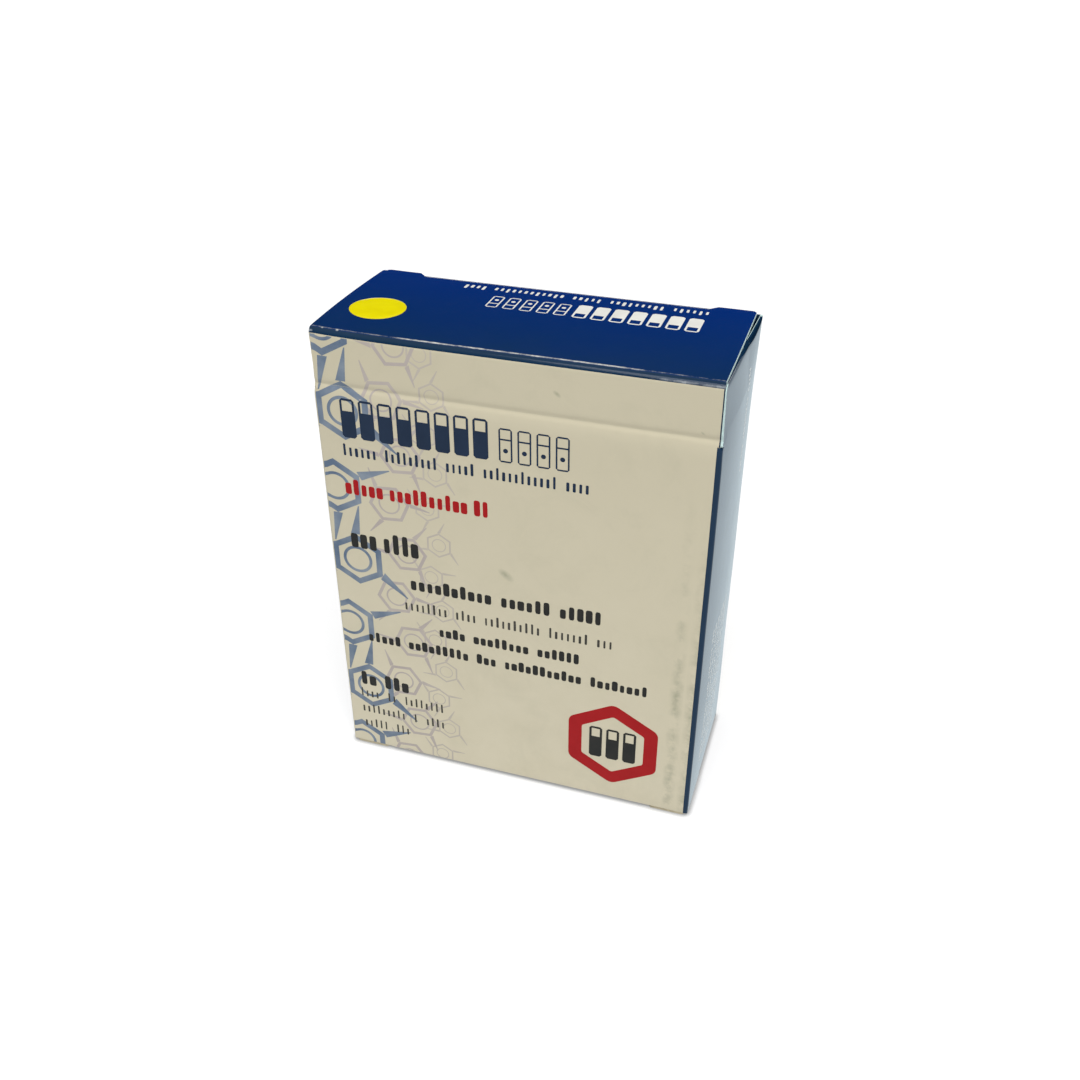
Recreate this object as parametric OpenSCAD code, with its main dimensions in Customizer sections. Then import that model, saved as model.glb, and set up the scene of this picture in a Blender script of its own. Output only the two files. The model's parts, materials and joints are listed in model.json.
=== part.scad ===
// Folding carton of microscope slides, standing on its bottom flap.
//
// The carton is one sheet of board folded into a reverse tuck-end box. The lid hinges on a
// crease in the front panel and tucks inside the back panel. The bottom flap hinges on the
// foot of the back panel and tucks inside the front panel. The slides stand on end inside,
// face to face, in one row from side to side.
//
// Frame: X runs across the front, +Y to the back and +Z up. The origin is the bottom centre
// of the closed carton. All sizes are in millimetres.

/* [Slides] */
// Length of a slide, which stands on end
slide_len = 75; // [70:0.5:80]
// Width of a slide, from the front of the carton to its back
slide_wid = 25; // [22:0.5:30]
// Thickness of a slide
slide_t = 1.1; // [0.9:0.05:1.3]
// Size of the 45 degree cut at each corner of a slide
slide_corner = 1.5; // [1.5:0.1:3]
// Number of slides
slide_count = 50; // [30:1:55]
// Air between one slide and the next
slide_gap = 0.09; // [0.05:0.01:0.2]

/* [Board] */
// Thickness of the board
board_t = 0.4; // [0.3:0.05:0.5]
// Outside radius of the upright folds and of the dust flap folds
corner_r = 0.7; // [0.6:0.05:0.9]
// Outside radius of the folds of the lid and of the bottom flap
flap_r = 1; // [0.8:0.05:1.2]
// Gap between two layers of board that lie against each other
lay_gap = 0.05; // [0.04:0.01:0.1]
// Gap between the two sides of a crease that moves
hinge_gap = 0.04; // [0.03:0.01:0.06]
// Width of the cuts that part the end of a fold from the board beside it
cut_w = 0.1; // [0.05:0.01:0.3]

/* [Room inside] */
// Play of the row of slides from side to side
side_play = 1.09; // [0.5:0.01:3]
// Height left free over the slides
headroom = 3.25; // [2:0.05:3.5]
// Gap between the lid's tuck flap and the back panel
lid_tuck_gap = 0.1; // [0.08:0.01:0.3]
// Gap between the lid's tuck flap and the slides
lid_tuck_clear = 0.2; // [0.2:0.01:0.5]
// Gap between the bottom tuck flap and the front panel
bottom_tuck_gap = 0.18; // [0.16:0.01:0.3]
// Gap between the bottom tuck flap and the slides
bottom_tuck_clear = 0.12; // [0.1:0.01:0.4]

/* [Lid] */
// Drop from the top of the carton to the crease that the lid hinges on
crease_drop = 8.5; // [7:0.1:9]
// Depth of the slits that free the lid from the side panels
slit_drop = 9.5; // [9.1:0.1:12]
// Height of the lid's tuck flap, from the top of the carton
lid_tuck_len = 10; // [6:0.1:10]
// Width of an ear, the corner of a closing panel that lies over the wall past the tuck fold
ear_w = 7.2; // [4:0.1:12]
// Size of the 45 degree step beside each ear
ear_step = 1.2; // [0.5:0.1:1.2]
// Radius of the ear's outer corner
ear_r = 0.9; // [0.5:0.1:3]
// Radius of a tuck flap's free corners
tuck_corner_r = 5; // [2:0.1:5]

/* [Bottom] */
// Height of the bottom tuck flap, from the foot of the carton
bottom_tuck_len = 7.5; // [6.5:0.1:8]

/* [Dust flaps] */
// Reach of a dust flap from the side panel
dust_len = 22; // [12:0.5:28]
// Width of a dust flap, along its fold
dust_w = 16; // [10:0.5:20]
// Radius of a dust flap's free corners
dust_corner_r = 4; // [1:0.1:5]

/* [Glue flap] */
// Width of the glue flap, inside the left panel
glue_w = 12; // [8:0.5:16]
// Distance from each end of the carton to the glue flap
glue_setback = 3; // [2:0.5:8]

/* [Colour dot] */
// Diameter of the round sticker on the lid
dot_d = 8.5; // [5:0.5:12]
// Thickness of the sticker
dot_t = 0.1; // [0.05:0.01:0.2]
// Distance from the left side of the carton to the sticker's centre
dot_from_side = 6.4; // [6.4:0.1:30]
// Distance from the front of the carton to the sticker's centre
dot_from_front = 10.5; // [7:0.1:17]

/* [Hidden] */
$fn = 64;

// One name for each slide, slide_01 and up
function slide_name(i) = str("slide_", i < 10 ? "0" : "", i);

// Colours
navy = "#12305F";
cream = "#CDC3A4";
raw_board = "#C9C4B4";
yellow = "#E5D700";
glass = "#CFE3DD";

// Layers of board and air, from the floor up: the closing panel, then the dust flap
wall_foot = board_t + lay_gap;
slide_foot = 2 * wall_foot;
slide_top = slide_foot + slide_len;

// Outside of the closed carton
row_w = slide_count * slide_t + (slide_count - 1) * slide_gap;
carton_w = row_w + side_play + 3 * board_t;
carton_d = slide_wid + lid_tuck_gap + lid_tuck_clear + bottom_tuck_gap + bottom_tuck_clear
  + 4 * board_t;
carton_h = slide_top + headroom + 2 * board_t + lay_gap;
half_w = carton_w / 2;
half_d = carton_d / 2;
wall_head = carton_h - wall_foot;

// Heights on the front panel
crease_z = carton_h - crease_drop;
slit_z = carton_h - slit_drop;

// Closing panels: the width between the side panels' faces, and the width of the tuck folds
closing_w = carton_w - 2 * (board_t + lay_gap);
tuck_fold_w = closing_w - 2 * ear_w;
tuck_w = carton_w - 2 * (2 * board_t + corner_r);
foot_fold_w = carton_w - 2 * (board_t + corner_r + cut_w);

// Outer faces of the two tuck flaps, and the reach of the ears
lid_tuck_y = half_d - board_t - lid_tuck_gap;
bottom_tuck_y = half_d - board_t - bottom_tuck_gap;
ear_y = half_d - lay_gap;

// Half the angle that a moving fold is split by, so that hinge_gap is left at its inner face
split_angle = asin(hinge_gap / 2 / (flap_r - board_t));

// Dust flaps start clear of the fold that the closing panel hinges on
dust_start = flap_r + 2 * lay_gap + cut_w;

// First slide's left face, past the side panel and the glue flap
row_start = -half_w + 2 * board_t + side_play / 2;
slide_front = -half_d + 2 * board_t + bottom_tuck_gap + bottom_tuck_clear;

// Far enough to cut right through the carton
beyond = 2 * carton_h;

// ---- Shapes of board ----------------------------------------------------------------

// Carries a section drawn in Y and Z across the given width
module across(width) {
  rotate([90, 0, 90]) linear_extrude(height = width, center = true) children();
}

// The section of a fold: the part of a ring of board between two angles
module fold_section(r, from, to) {
  intersection() {
    difference() {
      circle(r = r);
      circle(r = r - board_t);
    }
    polygon([[0, 0], for (k = [0 : 2]) let (a = from + (to - from) * k / 2) 2 * r * [cos(a), sin(a)]]);
  }
}

// What is cut away to round off a corner that points to +X and +Y
module corner_waste(r) {
  difference() {
    square(2 * r);
    circle(r = r);
  }
}

// A flap with rounded free corners, which reaches from the X axis to +Y
module tab(width, reach, r) {
  difference() {
    translate([-width / 2, 0]) square([width, reach]);
    for (side = [0, 1]) mirror([side, 0]) translate([width / 2 - r, reach - r]) corner_waste(r);
  }
}

// Half of a closing panel's outline, x from 0 up: the tuck fold is at the panel's end, and
// the ear reaches past it to the outside of the wall
module closing_half(fold_reach, ear_reach) {
  fold_x = tuck_fold_w / 2;
  side_x = closing_w / 2;
  square([side_x, fold_reach]);
  difference() {
    polygon([
      [fold_x + cut_w, 0],
      [side_x, 0],
      [side_x, ear_reach],
      [fold_x + cut_w + ear_step, ear_reach],
      [fold_x + cut_w, ear_reach - ear_step]
    ]);
    translate([side_x - ear_r, ear_reach - ear_r]) corner_waste(ear_r);
  }
}

// A closing panel lying flat, its hinge edge on the X axis
module closing_panel(fold_reach, ear_reach) {
  linear_extrude(height = board_t) {
    closing_half(fold_reach, ear_reach);
    mirror([1, 0]) closing_half(fold_reach, ear_reach);
  }
}

// ---- Carton -------------------------------------------------------------------------

// The side panels, the back panel and their folds in plan, with the glue flap's fold
module wall_plan() {
  fold_y = half_d - corner_r;
  lap_x = half_w - board_t - corner_r;
  // right panel, its fold and the back panel
  translate([half_w - board_t, 0]) square([board_t, fold_y]);
  translate([half_w - corner_r, fold_y]) fold_section(corner_r, 0, 90);
  translate([-lap_x, half_d - board_t]) square([lap_x + half_w - corner_r, board_t]);
  // the fold to the glue flap, and the left panel, whose cut edge stops beside it
  translate([-lap_x, fold_y]) fold_section(corner_r, 90, 180);
  translate([-half_w, 0]) square([board_t, fold_y - lay_gap]);
}

// The front half of the side panels, folded into the front panel
module front_corner_plan() {
  fold_y = -half_d + corner_r;
  for (side = [-1, 1]) {
    translate([side * (half_w - board_t / 2) - board_t / 2, fold_y]) square([board_t, -fold_y]);
  }
  translate([half_w - corner_r, fold_y]) fold_section(corner_r, 270, 360);
  translate([-half_w + corner_r, fold_y]) fold_section(corner_r, 180, 270);
}

// The front half of the side panels beside the lid, cut free along the slits. A short cut
// across the foot of each slit parts the panel's front edge from the fold under it.
module slit_sides() {
  for (side = [-1, 1]) translate([side * (half_w - board_t / 2) - board_t / 2, 0, 0]) {
    translate([0, -half_d + corner_r, slit_z])
      cube([board_t, half_d - corner_r, wall_head - slit_z]);
    translate([0, -half_d, slit_z + cut_w])
      cube([board_t, half_d, wall_head - slit_z - cut_w]);
  }
}

// The front panel, from its cut foot to the crease
module front_panel() {
  plain_w = carton_w - 2 * corner_r;
  panel_head = crease_z - hinge_gap / 2;
  translate([0, -half_d + board_t, 0]) rotate([90, 0, 0]) linear_extrude(height = board_t) {
    translate([-plain_w / 2, wall_foot]) square([plain_w, panel_head - wall_foot]);
    translate([-closing_w / 2, slit_z + cut_w]) square([closing_w, panel_head - slit_z - cut_w]);
  }
}

// Takes the square corner off the front of the side panels, level with the lid's fold
module head_corner_cut() {
  translate([0, -half_d + flap_r, wall_head - flap_r]) across(beyond)
    mirror([1, 0]) corner_waste(flap_r);
}

// Two dust flaps, folded in from the side panels, and the room for them in the walls.
// They lie from dust_start behind the front face, at the head of the walls.
module dust_flaps() {
  for (side = [0, 1]) mirror([side, 0, 0])
    translate([half_w - corner_r, -half_d + dust_start + dust_w / 2, wall_head]) {
      translate([0, 0, -board_t]) linear_extrude(height = board_t) rotate([0, 0, 90])
        tab(dust_w, dust_len - corner_r, dust_corner_r);
      translate([0, 0, -corner_r]) rotate([90, 0, 0])
        linear_extrude(height = dust_w, center = true) fold_section(corner_r, 0, 90);
    }
}

// The stretch of side panel that a dust flap's fold replaces, with a cut at each end of it
module dust_fold_cut() {
  translate([-half_w - board_t, -half_d + dust_start - cut_w, wall_head - corner_r])
    cube([carton_w + 2 * board_t, dust_w + 2 * cut_w, beyond]);
}

// The foot of the back panel, rounded to where the bottom flap splits from it
module back_foot() {
  translate([0, half_d - flap_r, flap_r]) across(foot_fold_w)
    fold_section(flap_r, -45 + split_angle, 0);
}

// The stretch of back panel that this fold replaces, with a cut at each end of it
module back_foot_cut() {
  translate([-foot_fold_w / 2 - cut_w, half_d - 2 * board_t, -beyond + flap_r])
    cube([foot_fold_w + 2 * cut_w, 3 * board_t, beyond]);
}

// The glue flap, inside the left panel and bonded to it
module glue_flap() {
  translate([-half_w + board_t, half_d - corner_r - glue_w, wall_foot + glue_setback])
    cube([board_t, glue_w, wall_head - wall_foot - 2 * glue_setback]);
}

module walls() {
  difference() {
    union() {
      translate([0, 0, wall_foot]) linear_extrude(height = wall_head - wall_foot) wall_plan();
      translate([0, 0, wall_foot]) linear_extrude(height = slit_z - wall_foot) front_corner_plan();
      slit_sides();
    }
    head_corner_cut();
    dust_fold_cut();
    // the bottom dust flaps are the top ones turned end for end
    turned_over() dust_fold_cut();
    back_foot_cut();
  }
}

// Turns what belongs at the head of the walls about the X axis, to the foot and the back
module turned_over() {
  translate([0, 0, carton_h]) rotate([180, 0, 0]) children();
}

module carton() {
  color(cream) front_panel();
  color(navy) {
    walls();
    back_foot();
  }
  color(raw_board) {
    dust_flaps();
    turned_over() dust_flaps();
    glue_flap();
  }
}

// ---- Lid ----------------------------------------------------------------------------

// The strip of the front panel above the crease, and its fold at the top
module lid_strip() {
  across(closing_w) {
    translate([-half_d, crease_z + hinge_gap / 2])
      square([board_t, carton_h - flap_r - crease_z - hinge_gap / 2]);
    translate([-half_d + flap_r, carton_h - flap_r]) fold_section(flap_r, 90, 180);
  }
}

// The fold from the lid to its tuck flap
module lid_tuck_fold() {
  translate([0, lid_tuck_y - flap_r, carton_h - flap_r]) across(tuck_fold_w)
    fold_section(flap_r, 0, 90);
}

// The tuck flap, which slides in behind the back panel
module lid_tuck() {
  translate([0, lid_tuck_y - board_t, carton_h - flap_r]) rotate([-90, 0, 0])
    linear_extrude(height = board_t) tab(tuck_w, lid_tuck_len - flap_r, tuck_corner_r);
}

module lid() {
  hinge_y = -half_d + flap_r;
  color(navy) {
    lid_strip();
    translate([0, hinge_y, carton_h - board_t])
      closing_panel(lid_tuck_y - flap_r - hinge_y, ear_y - hinge_y);
    lid_tuck_fold();
    lid_tuck();
  }
}

// The round sticker that gives the colour of the slides' writing area
module colour_dot() {
  color(yellow) translate([-half_w + dot_from_side, -half_d + dot_from_front, carton_h])
    cylinder(d = dot_d, h = dot_t);
}

// ---- Bottom -------------------------------------------------------------------------

// The bottom panel, from the split in its fold at the back to the split at the front
module bottom_flap() {
  hinge_y = half_d - flap_r;
  color(raw_board) {
    translate([0, hinge_y, flap_r]) across(foot_fold_w)
      fold_section(flap_r, -90, -45 - split_angle);
    translate([0, hinge_y, 0]) mirror([0, 1, 0])
      closing_panel(hinge_y + bottom_tuck_y - flap_r, hinge_y + ear_y);
    translate([0, -bottom_tuck_y + flap_r, flap_r]) across(tuck_fold_w)
      fold_section(flap_r, 225 + split_angle, 270);
  }
}

// The bottom tuck flap, which slides in behind the front panel
module bottom_tuck_flap() {
  color(raw_board) {
    translate([0, -bottom_tuck_y + flap_r, flap_r]) across(tuck_fold_w)
      fold_section(flap_r, 180, 225 - split_angle);
    translate([0, -bottom_tuck_y + board_t, flap_r]) rotate([90, 0, 0])
      linear_extrude(height = board_t) tab(tuck_w, bottom_tuck_len - flap_r, tuck_corner_r);
  }
}

// ---- Slides -------------------------------------------------------------------------

// A slide's face, with its four corners cut at 45 degrees
module slide_face() {
  far_y = slide_wid - slide_corner;
  far_z = slide_len - slide_corner;
  polygon([
    [slide_corner, 0], [far_y, 0], [slide_wid, slide_corner], [slide_wid, far_z],
    [far_y, slide_len], [slide_corner, slide_len], [0, far_z], [0, slide_corner]
  ]);
}

module slide(i) {
  color(glass)
    translate([row_start + (i - 1) * (slide_t + slide_gap), slide_front, slide_foot])
      rotate([90, 0, 90]) linear_extrude(height = slide_t) slide_face();
}

// ---- Parts --------------------------------------------------------------------------

carton();
lid();
colour_dot();
bottom_flap();
bottom_tuck_flap();
for (i = [1 : slide_count]) slide(i);
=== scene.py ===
"""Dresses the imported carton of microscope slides.

The carton is one sheet of coated board, folded into a reverse tuck-end box. Its lid swings on a
crease in the front panel, and its bottom flap on the foot of the back panel. Each piece of board
is a copy of its node in the frame, cut to a fine grid and bent a little, as real board is. The
print lies on it as thin layers of ink that bend with it, and fifty slides stand inside.

Lengths are in millimetres until a mesh is placed, and the frame's origin is the bottom centre.
"""
import json
import logging
import math
from collections.abc import Callable, Iterable
from dataclasses import dataclass, field
from enum import Enum, IntEnum

import bmesh
import bpy
from mathutils import Matrix, Vector, noise
from mathutils.bvhtree import BVHTree


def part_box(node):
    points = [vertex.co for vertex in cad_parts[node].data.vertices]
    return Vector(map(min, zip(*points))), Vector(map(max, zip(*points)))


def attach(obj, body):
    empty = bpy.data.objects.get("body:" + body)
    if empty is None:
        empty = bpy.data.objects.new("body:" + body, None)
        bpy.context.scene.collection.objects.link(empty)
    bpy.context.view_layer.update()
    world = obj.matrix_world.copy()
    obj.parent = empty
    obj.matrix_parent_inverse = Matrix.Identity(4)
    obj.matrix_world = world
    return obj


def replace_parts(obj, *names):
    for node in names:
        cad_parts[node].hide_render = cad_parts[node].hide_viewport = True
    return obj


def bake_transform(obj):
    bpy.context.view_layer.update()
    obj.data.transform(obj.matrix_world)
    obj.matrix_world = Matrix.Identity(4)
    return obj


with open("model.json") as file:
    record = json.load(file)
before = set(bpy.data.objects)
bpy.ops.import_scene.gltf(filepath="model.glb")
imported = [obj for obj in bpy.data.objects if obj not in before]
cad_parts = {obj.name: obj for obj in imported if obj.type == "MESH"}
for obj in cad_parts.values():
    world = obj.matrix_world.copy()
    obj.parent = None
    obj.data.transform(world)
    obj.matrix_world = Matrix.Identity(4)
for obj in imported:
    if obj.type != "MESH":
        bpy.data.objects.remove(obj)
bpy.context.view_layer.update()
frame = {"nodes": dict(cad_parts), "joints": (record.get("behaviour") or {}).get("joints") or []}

log = logging.getLogger("slide_carton")

Tree = bpy.types.NodeTree
Node = bpy.types.Node
Socket = bpy.types.NodeSocket
Material = bpy.types.Material
Mesh = bpy.types.Mesh
Object = bpy.types.Object
WorkMesh = bmesh.types.BMesh

MM = 0.001  # metres in a millimetre
CRISP_ANGLE = math.radians(32)  # faces that meet at more than this show an edge
WEAR = "wear"  # the attribute for how rubbed the board is, and for a painted highlight line on the top's front fold, from 0 to 1
CREASED = "creased"  # the attribute for how far bending has dulled the varnish, from 0 to 1


class Axis(IntEnum):
    """An axis of the frame: X to the right across the front, Y to the back and Z up."""

    X = 0
    Y = 1
    Z = 2


# ---- Nodes ----


def linear(colour: str) -> tuple[float, float, float, float]:
    """Turns an sRGB hex colour to linear.

    Args:
        colour: The colour as "#RRGGBB".

    Returns:
        Red, green, blue and an alpha of 1.
    """
    shares = (int(colour[i : i + 2], 16) / 255 for i in (1, 3, 5))
    return (*(s / 12.92 if s <= 0.04045 else ((s + 0.055) / 1.055) ** 2.4 for s in shares), 1.0)


def bare_tree(owner: Material | bpy.types.World) -> Tree:
    """Gives a material's or a world's own node tree, emptied.

    Args:
        owner: The material or the world.

    Returns:
        Its tree.
    """
    owner.use_nodes = True
    owner.node_tree.nodes.clear()
    return owner.node_tree


def add(tree: Tree, kind: str, inputs: dict[int | str, object] | None = None, **settings: object) -> Node:
    """Adds a node to a tree, with its settings, values and links.

    Args:
        tree: The tree that gets the node.
        kind: The node's type.
        inputs: A value, a socket or a node for each input, by its name or its number, or a list of
            nodes where an input takes many. A node stands for its first output in use.
        **settings: The node's own properties.

    Returns:
        The new node.
    """
    node = tree.nodes.new(kind)
    for name, value in settings.items():
        setattr(node, name, value)
    for key, value in (inputs or {}).items():
        live = [s for s in node.inputs if s.enabled]
        socket = live[key] if isinstance(key, int) else next(s for s in live if s.name == key)
        for source in value if isinstance(value, list) else [value]:
            if isinstance(source, Node):
                source = next(s for s in source.outputs if s.enabled)
            if isinstance(source, Socket):
                tree.links.new(source, socket)
            else:
                socket.default_value = source
    return node


def per_metre(feature: float) -> float:
    """Gives the texture scale at which a pattern's features are so many millimetres wide."""
    return 1 / (feature * MM)


@dataclass(frozen=True)
class Ground:
    """What a material is built on: its tree, and the point on the piece that its patterns follow."""

    tree: Tree
    place: Socket

    def drift(self, width: float, levels: tuple[float, float] = (0.0, 1.0),
              shares: tuple[float, float] = (0.0, 1.0), **cloud: float) -> Node:
        """Adds a share that drifts over a surface, as the clouds of a noise do.

        Args:
            width: How wide the clouds are.
            levels: The noise's levels at which the share is at its first and at its second end.
            shares: The share's two ends.
            **cloud: The noise's other inputs.

        Returns:
            The node that gives it.
        """
        clouds = add(self.tree, "ShaderNodeTexNoise", {
            "Vector": self.place, "Scale": per_metre(width), **cloud})
        return add(self.tree, "ShaderNodeMapRange", {
            "Value": clouds, "From Min": levels[0], "From Max": levels[1],
            "To Min": shares[0], "To Max": shares[1]})

    def relief(self, width: float, height: float, detail: float = 3.0, under: Node | None = None) -> Node:
        """Adds the normal of a surface that is uneven as a noise is.

        Args:
            width: How wide its bumps are.
            height: How high they are.
            detail: The noise's detail.
            under: Another relief that it lies on.

        Returns:
            The node that gives it.
        """
        bumps = add(self.tree, "ShaderNodeTexNoise", {
            "Vector": self.place, "Scale": per_metre(width), "Detail": detail})
        below = {} if under is None else {"Normal": under}
        return add(self.tree, "ShaderNodeBump", {"Height": bumps, "Distance": height * MM, **below})


# ---- Finishes ----


@dataclass(frozen=True)
class PaintedLightFade:
    """A slow change of a surface's colour along an axis, between two places in millimetres, painted in place
    of a change in the light.
    """

    colour: str
    axis: Axis
    start: float
    end: float

    def share(self, on: Ground) -> Node:
        """Gives how far the colour has changed at a point.

        Args:
            on: The material's ground.

        Returns:
            The node that gives it.
        """
        along = add(on.tree, "ShaderNodeSeparateXYZ", {0: on.place}).outputs[self.axis.name]
        return add(on.tree, "ShaderNodeMapRange", {
            "Value": along, "From Min": self.start * MM, "From Max": self.end * MM})


@dataclass(frozen=True)
class Surface:
    """A surface of one kind, whose looks are the inputs of its shader."""

    name: str

    def material(self) -> Material:
        """Builds the surface's material.

        Returns:
            The material.
        """
        made = bpy.data.materials.new(self.name)
        tree = bare_tree(made)
        ground = Ground(tree, add(tree, "ShaderNodeTexCoord").outputs["Object"])
        shader = add(tree, "ShaderNodeBsdfPrincipled", self.looks(ground))
        add(tree, "ShaderNodeOutputMaterial", {"Surface": shader})
        return made

    def looks(self, on: Ground) -> dict[str, object]:
        """Gives the shader's inputs. Each kind of surface has its own."""
        raise NotImplementedError


@dataclass(frozen=True)
class CoatedBoard(Surface):
    """Clay-coated carton board, offset printed all over in one colour and varnished.

    The coating gives a smooth, faintly uneven face with a soft gloss. Rubbing at the folds
    takes the print off and shows the white coating; on the top's front fold that line is partly a painted
    highlight.
    """

    colour: str
    tint: str
    bare: str
    soil: str
    soil_share: float
    speck: str
    speck_share: float
    roughness: float
    ior: float
    # painted light: a slow change of colour that stands in for how the light falls
    fade: PaintedLightFade | None = None
    scuffs: tuple[float, ...] = ()  # the place in X of each
    smears: tuple[tuple[float, float, float], ...] = ()  # the place in X and Z, and the length, of each
    mottle: float = 7.0  # the widths of the features of each pattern
    patch: float = 11.0
    blot: float = 2.6
    grit: float = 1.3
    flake: float = 1.1
    speck_pitch: float = 2.2
    scuff_reach: tuple[float, float] = (0.1, 1.3)  # aside, where a scuff starts to fade and ends
    scuff_head: tuple[float, float] = (25.0, 66.0)  # the heights at which it starts to fade and ends
    scuff_share: float = 0.62
    smear_turn: float = 38.0
    grain: float = 0.35  # coarser than the coating's own, which wouldn't show
    grain_height: float = 0.0025
    wave: float = 4.0
    wave_height: float = 0.012

    def looks(self, on: Ground) -> dict[str, object]:
        """Gives the printed board's looks, with no gloss where bending has dulled the varnish.

        Args:
            on: The material's ground.

        Returns:
            The shader's inputs.
        """
        creased = add(on.tree, "ShaderNodeAttribute", attribute_name=CREASED).outputs["Fac"]
        gloss = add(on.tree, "ShaderNodeMapRange", {
            "Value": creased, "From Min": 0.43, "From Max": 0.57, "To Min": 0.5, "To Max": 0.0})
        rough = on.drift(self.wave, shares=(self.roughness * 0.8, self.roughness * 1.2), Detail=4.0)
        grain = on.relief(self.grain, self.grain_height)
        return {
            "Base Color": self._colour(on),
            "Roughness": rough,
            "IOR": self.ior,
            "Specular IOR Level": gloss,
            "Normal": on.relief(self.wave, self.wave_height, detail=2.0, under=grain),
        }

    def _colour(self, on: Ground) -> Node:
        """Gives the printed colour with its mottle, its painted change of light, soil, specks, and rubbed
        folds with a painted highlight line.

        Args:
            on: The material's ground.

        Returns:
            The node that gives it.
        """
        layers = [(on.drift(self.mottle, (0.3, 0.7), Detail=5.0, Roughness=0.6), self.tint)]
        # the painted change of light along an axis
        if self.fade:
            layers.append((self.fade.share(on), self.fade.colour))
        layers += [
            (self._soiled(on), self.soil),
            (self._specked(on), self.speck),
            (self._worn_and_highlit(on), self.bare),
        ]
        colour = linear(self.colour)
        for share, over in layers:
            colour = add(on.tree, "ShaderNodeMix", {"Factor": share, "A": colour, "B": linear(over)},
                         data_type="RGBA")
        return colour

    def _soiled(self, on: Ground) -> Node:
        """Gives how soiled each place is: in broad patches, and in front by the scuffs and smears.

        Args:
            on: The material's ground.

        Returns:
            The node that gives it.
        """
        soiled = on.drift(self.patch, (0.5, 0.76), (0.0, self.soil_share),
                          Detail=8.0, Roughness=0.72, Distortion=0.6)
        along_y = add(on.tree, "ShaderNodeSeparateXYZ", {0: on.place}).outputs["Y"]
        ahead = add(on.tree, "ShaderNodeMath", {0: along_y, 1: 0.0}, operation="LESS_THAN")
        marks = [self._scuff(on, x) for x in self.scuffs]
        marks += [self._smear(on, *smear) for smear in self.smears]
        for mark in marks:
            mark = add(on.tree, "ShaderNodeMath", {0: mark, 1: ahead}, operation="MULTIPLY")
            soiled = add(on.tree, "ShaderNodeMath", {0: soiled, 1: mark}, operation="MAXIMUM")
        return soiled

    def _scuff(self, on: Ground, x: float) -> Node:
        """Gives the share of soil of a scuff: an upright band of blots, low on the board.

        Args:
            on: The material's ground.
            x: Where the scuff is.

        Returns:
            The node that gives it.
        """
        axes = add(on.tree, "ShaderNodeSeparateXYZ", {0: on.place}).outputs
        aside = add(on.tree, "ShaderNodeMath", {0: axes["X"], 1: x * MM}, operation="SUBTRACT")
        aside = add(on.tree, "ShaderNodeMath", {0: aside}, operation="ABSOLUTE")
        edges = ((aside, self.scuff_reach, 1.0), (axes["Z"], self.scuff_head, self.scuff_share))
        band, low = (
            add(on.tree, "ShaderNodeMapRange", {
                "Value": value, "From Min": start * MM, "From Max": end * MM, "To Min": share, "To Max": 0.0})
            for value, (start, end), share in edges)
        band = add(on.tree, "ShaderNodeMath", {0: band, 1: low}, operation="MULTIPLY")
        blots = on.drift(self.blot, (0.4, 0.7), Detail=6.0, Roughness=0.68)
        return add(on.tree, "ShaderNodeMath", {0: band, 1: blots}, operation="MULTIPLY")

    def _smear(self, on: Ground, x: float, z: float, length: float) -> Node:
        """Gives the share of soil of a smear: a gritty oval, half as wide as it is long, on a slant.

        Args:
            on: The material's ground.
            x: Where its middle is across the board.
            z: Where its middle is up the board.
            length: How long it is.

        Returns:
            The node that gives it.
        """
        centred = add(on.tree, "ShaderNodeMapping", {
            "Vector": on.place, "Location": (x * MM, 0.0, z * MM),
            "Rotation": (0.0, math.radians(self.smear_turn), 0.0),
            "Scale": (length / 2 * MM, 1.0, length / 4 * MM)}, vector_type="TEXTURE")
        reach = add(on.tree, "ShaderNodeVectorMath", {0: centred}, operation="LENGTH").outputs["Value"]
        near = add(on.tree, "ShaderNodeMapRange", {
            "Value": reach, "From Min": 0.1, "From Max": 1.0, "To Min": 1.1, "To Max": 0.0})
        grit = add(on.tree, "ShaderNodeTexNoise", {
            "Vector": on.place, "Scale": per_metre(self.grit), "Detail": 7.0, "Roughness": 0.75})
        return add(on.tree, "ShaderNodeMath", {0: near, 1: grit}, operation="MULTIPLY")

    def _specked(self, on: Ground) -> Node:
        """Gives 1 at the specks, which are at a chosen share of the points of a loose net.

        Args:
            on: The material's ground.

        Returns:
            The node that gives it.
        """
        cells = add(on.tree, "ShaderNodeTexVoronoi", {
            "Vector": on.place, "Scale": per_metre(self.speck_pitch)})
        dot = add(on.tree, "ShaderNodeMapRange", {
            "Value": cells.outputs["Distance"], "From Min": 0.035, "From Max": 0.06,
            "To Min": 1.0, "To Max": 0.0})
        chosen = add(on.tree, "ShaderNodeMath", {0: cells.outputs["Color"], 1: 1 - self.speck_share},
                     operation="GREATER_THAN")
        return add(on.tree, "ShaderNodeMath", {0: dot, 1: chosen}, operation="MULTIPLY")

    def _worn_and_highlit(self, on: Ground) -> Node:
        """Gives where the print has flaked off, by how rubbed the board is there, and where a painted
        highlight line shows the bare colour.

        Args:
            on: The material's ground.

        Returns:
            The node that gives it.
        """
        rubbed = add(on.tree, "ShaderNodeAttribute", attribute_name=WEAR).outputs["Fac"]
        flakes = add(on.tree, "ShaderNodeTexNoise", {
            "Vector": on.place, "Scale": per_metre(self.flake), "Detail": 6.0, "Roughness": 0.7})
        worn = add(on.tree, "ShaderNodeMath", {0: rubbed, 1: flakes}, operation="MULTIPLY")
        return add(on.tree, "ShaderNodeMapRange", {"Value": worn, "From Min": 0.22, "From Max": 0.56})


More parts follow.
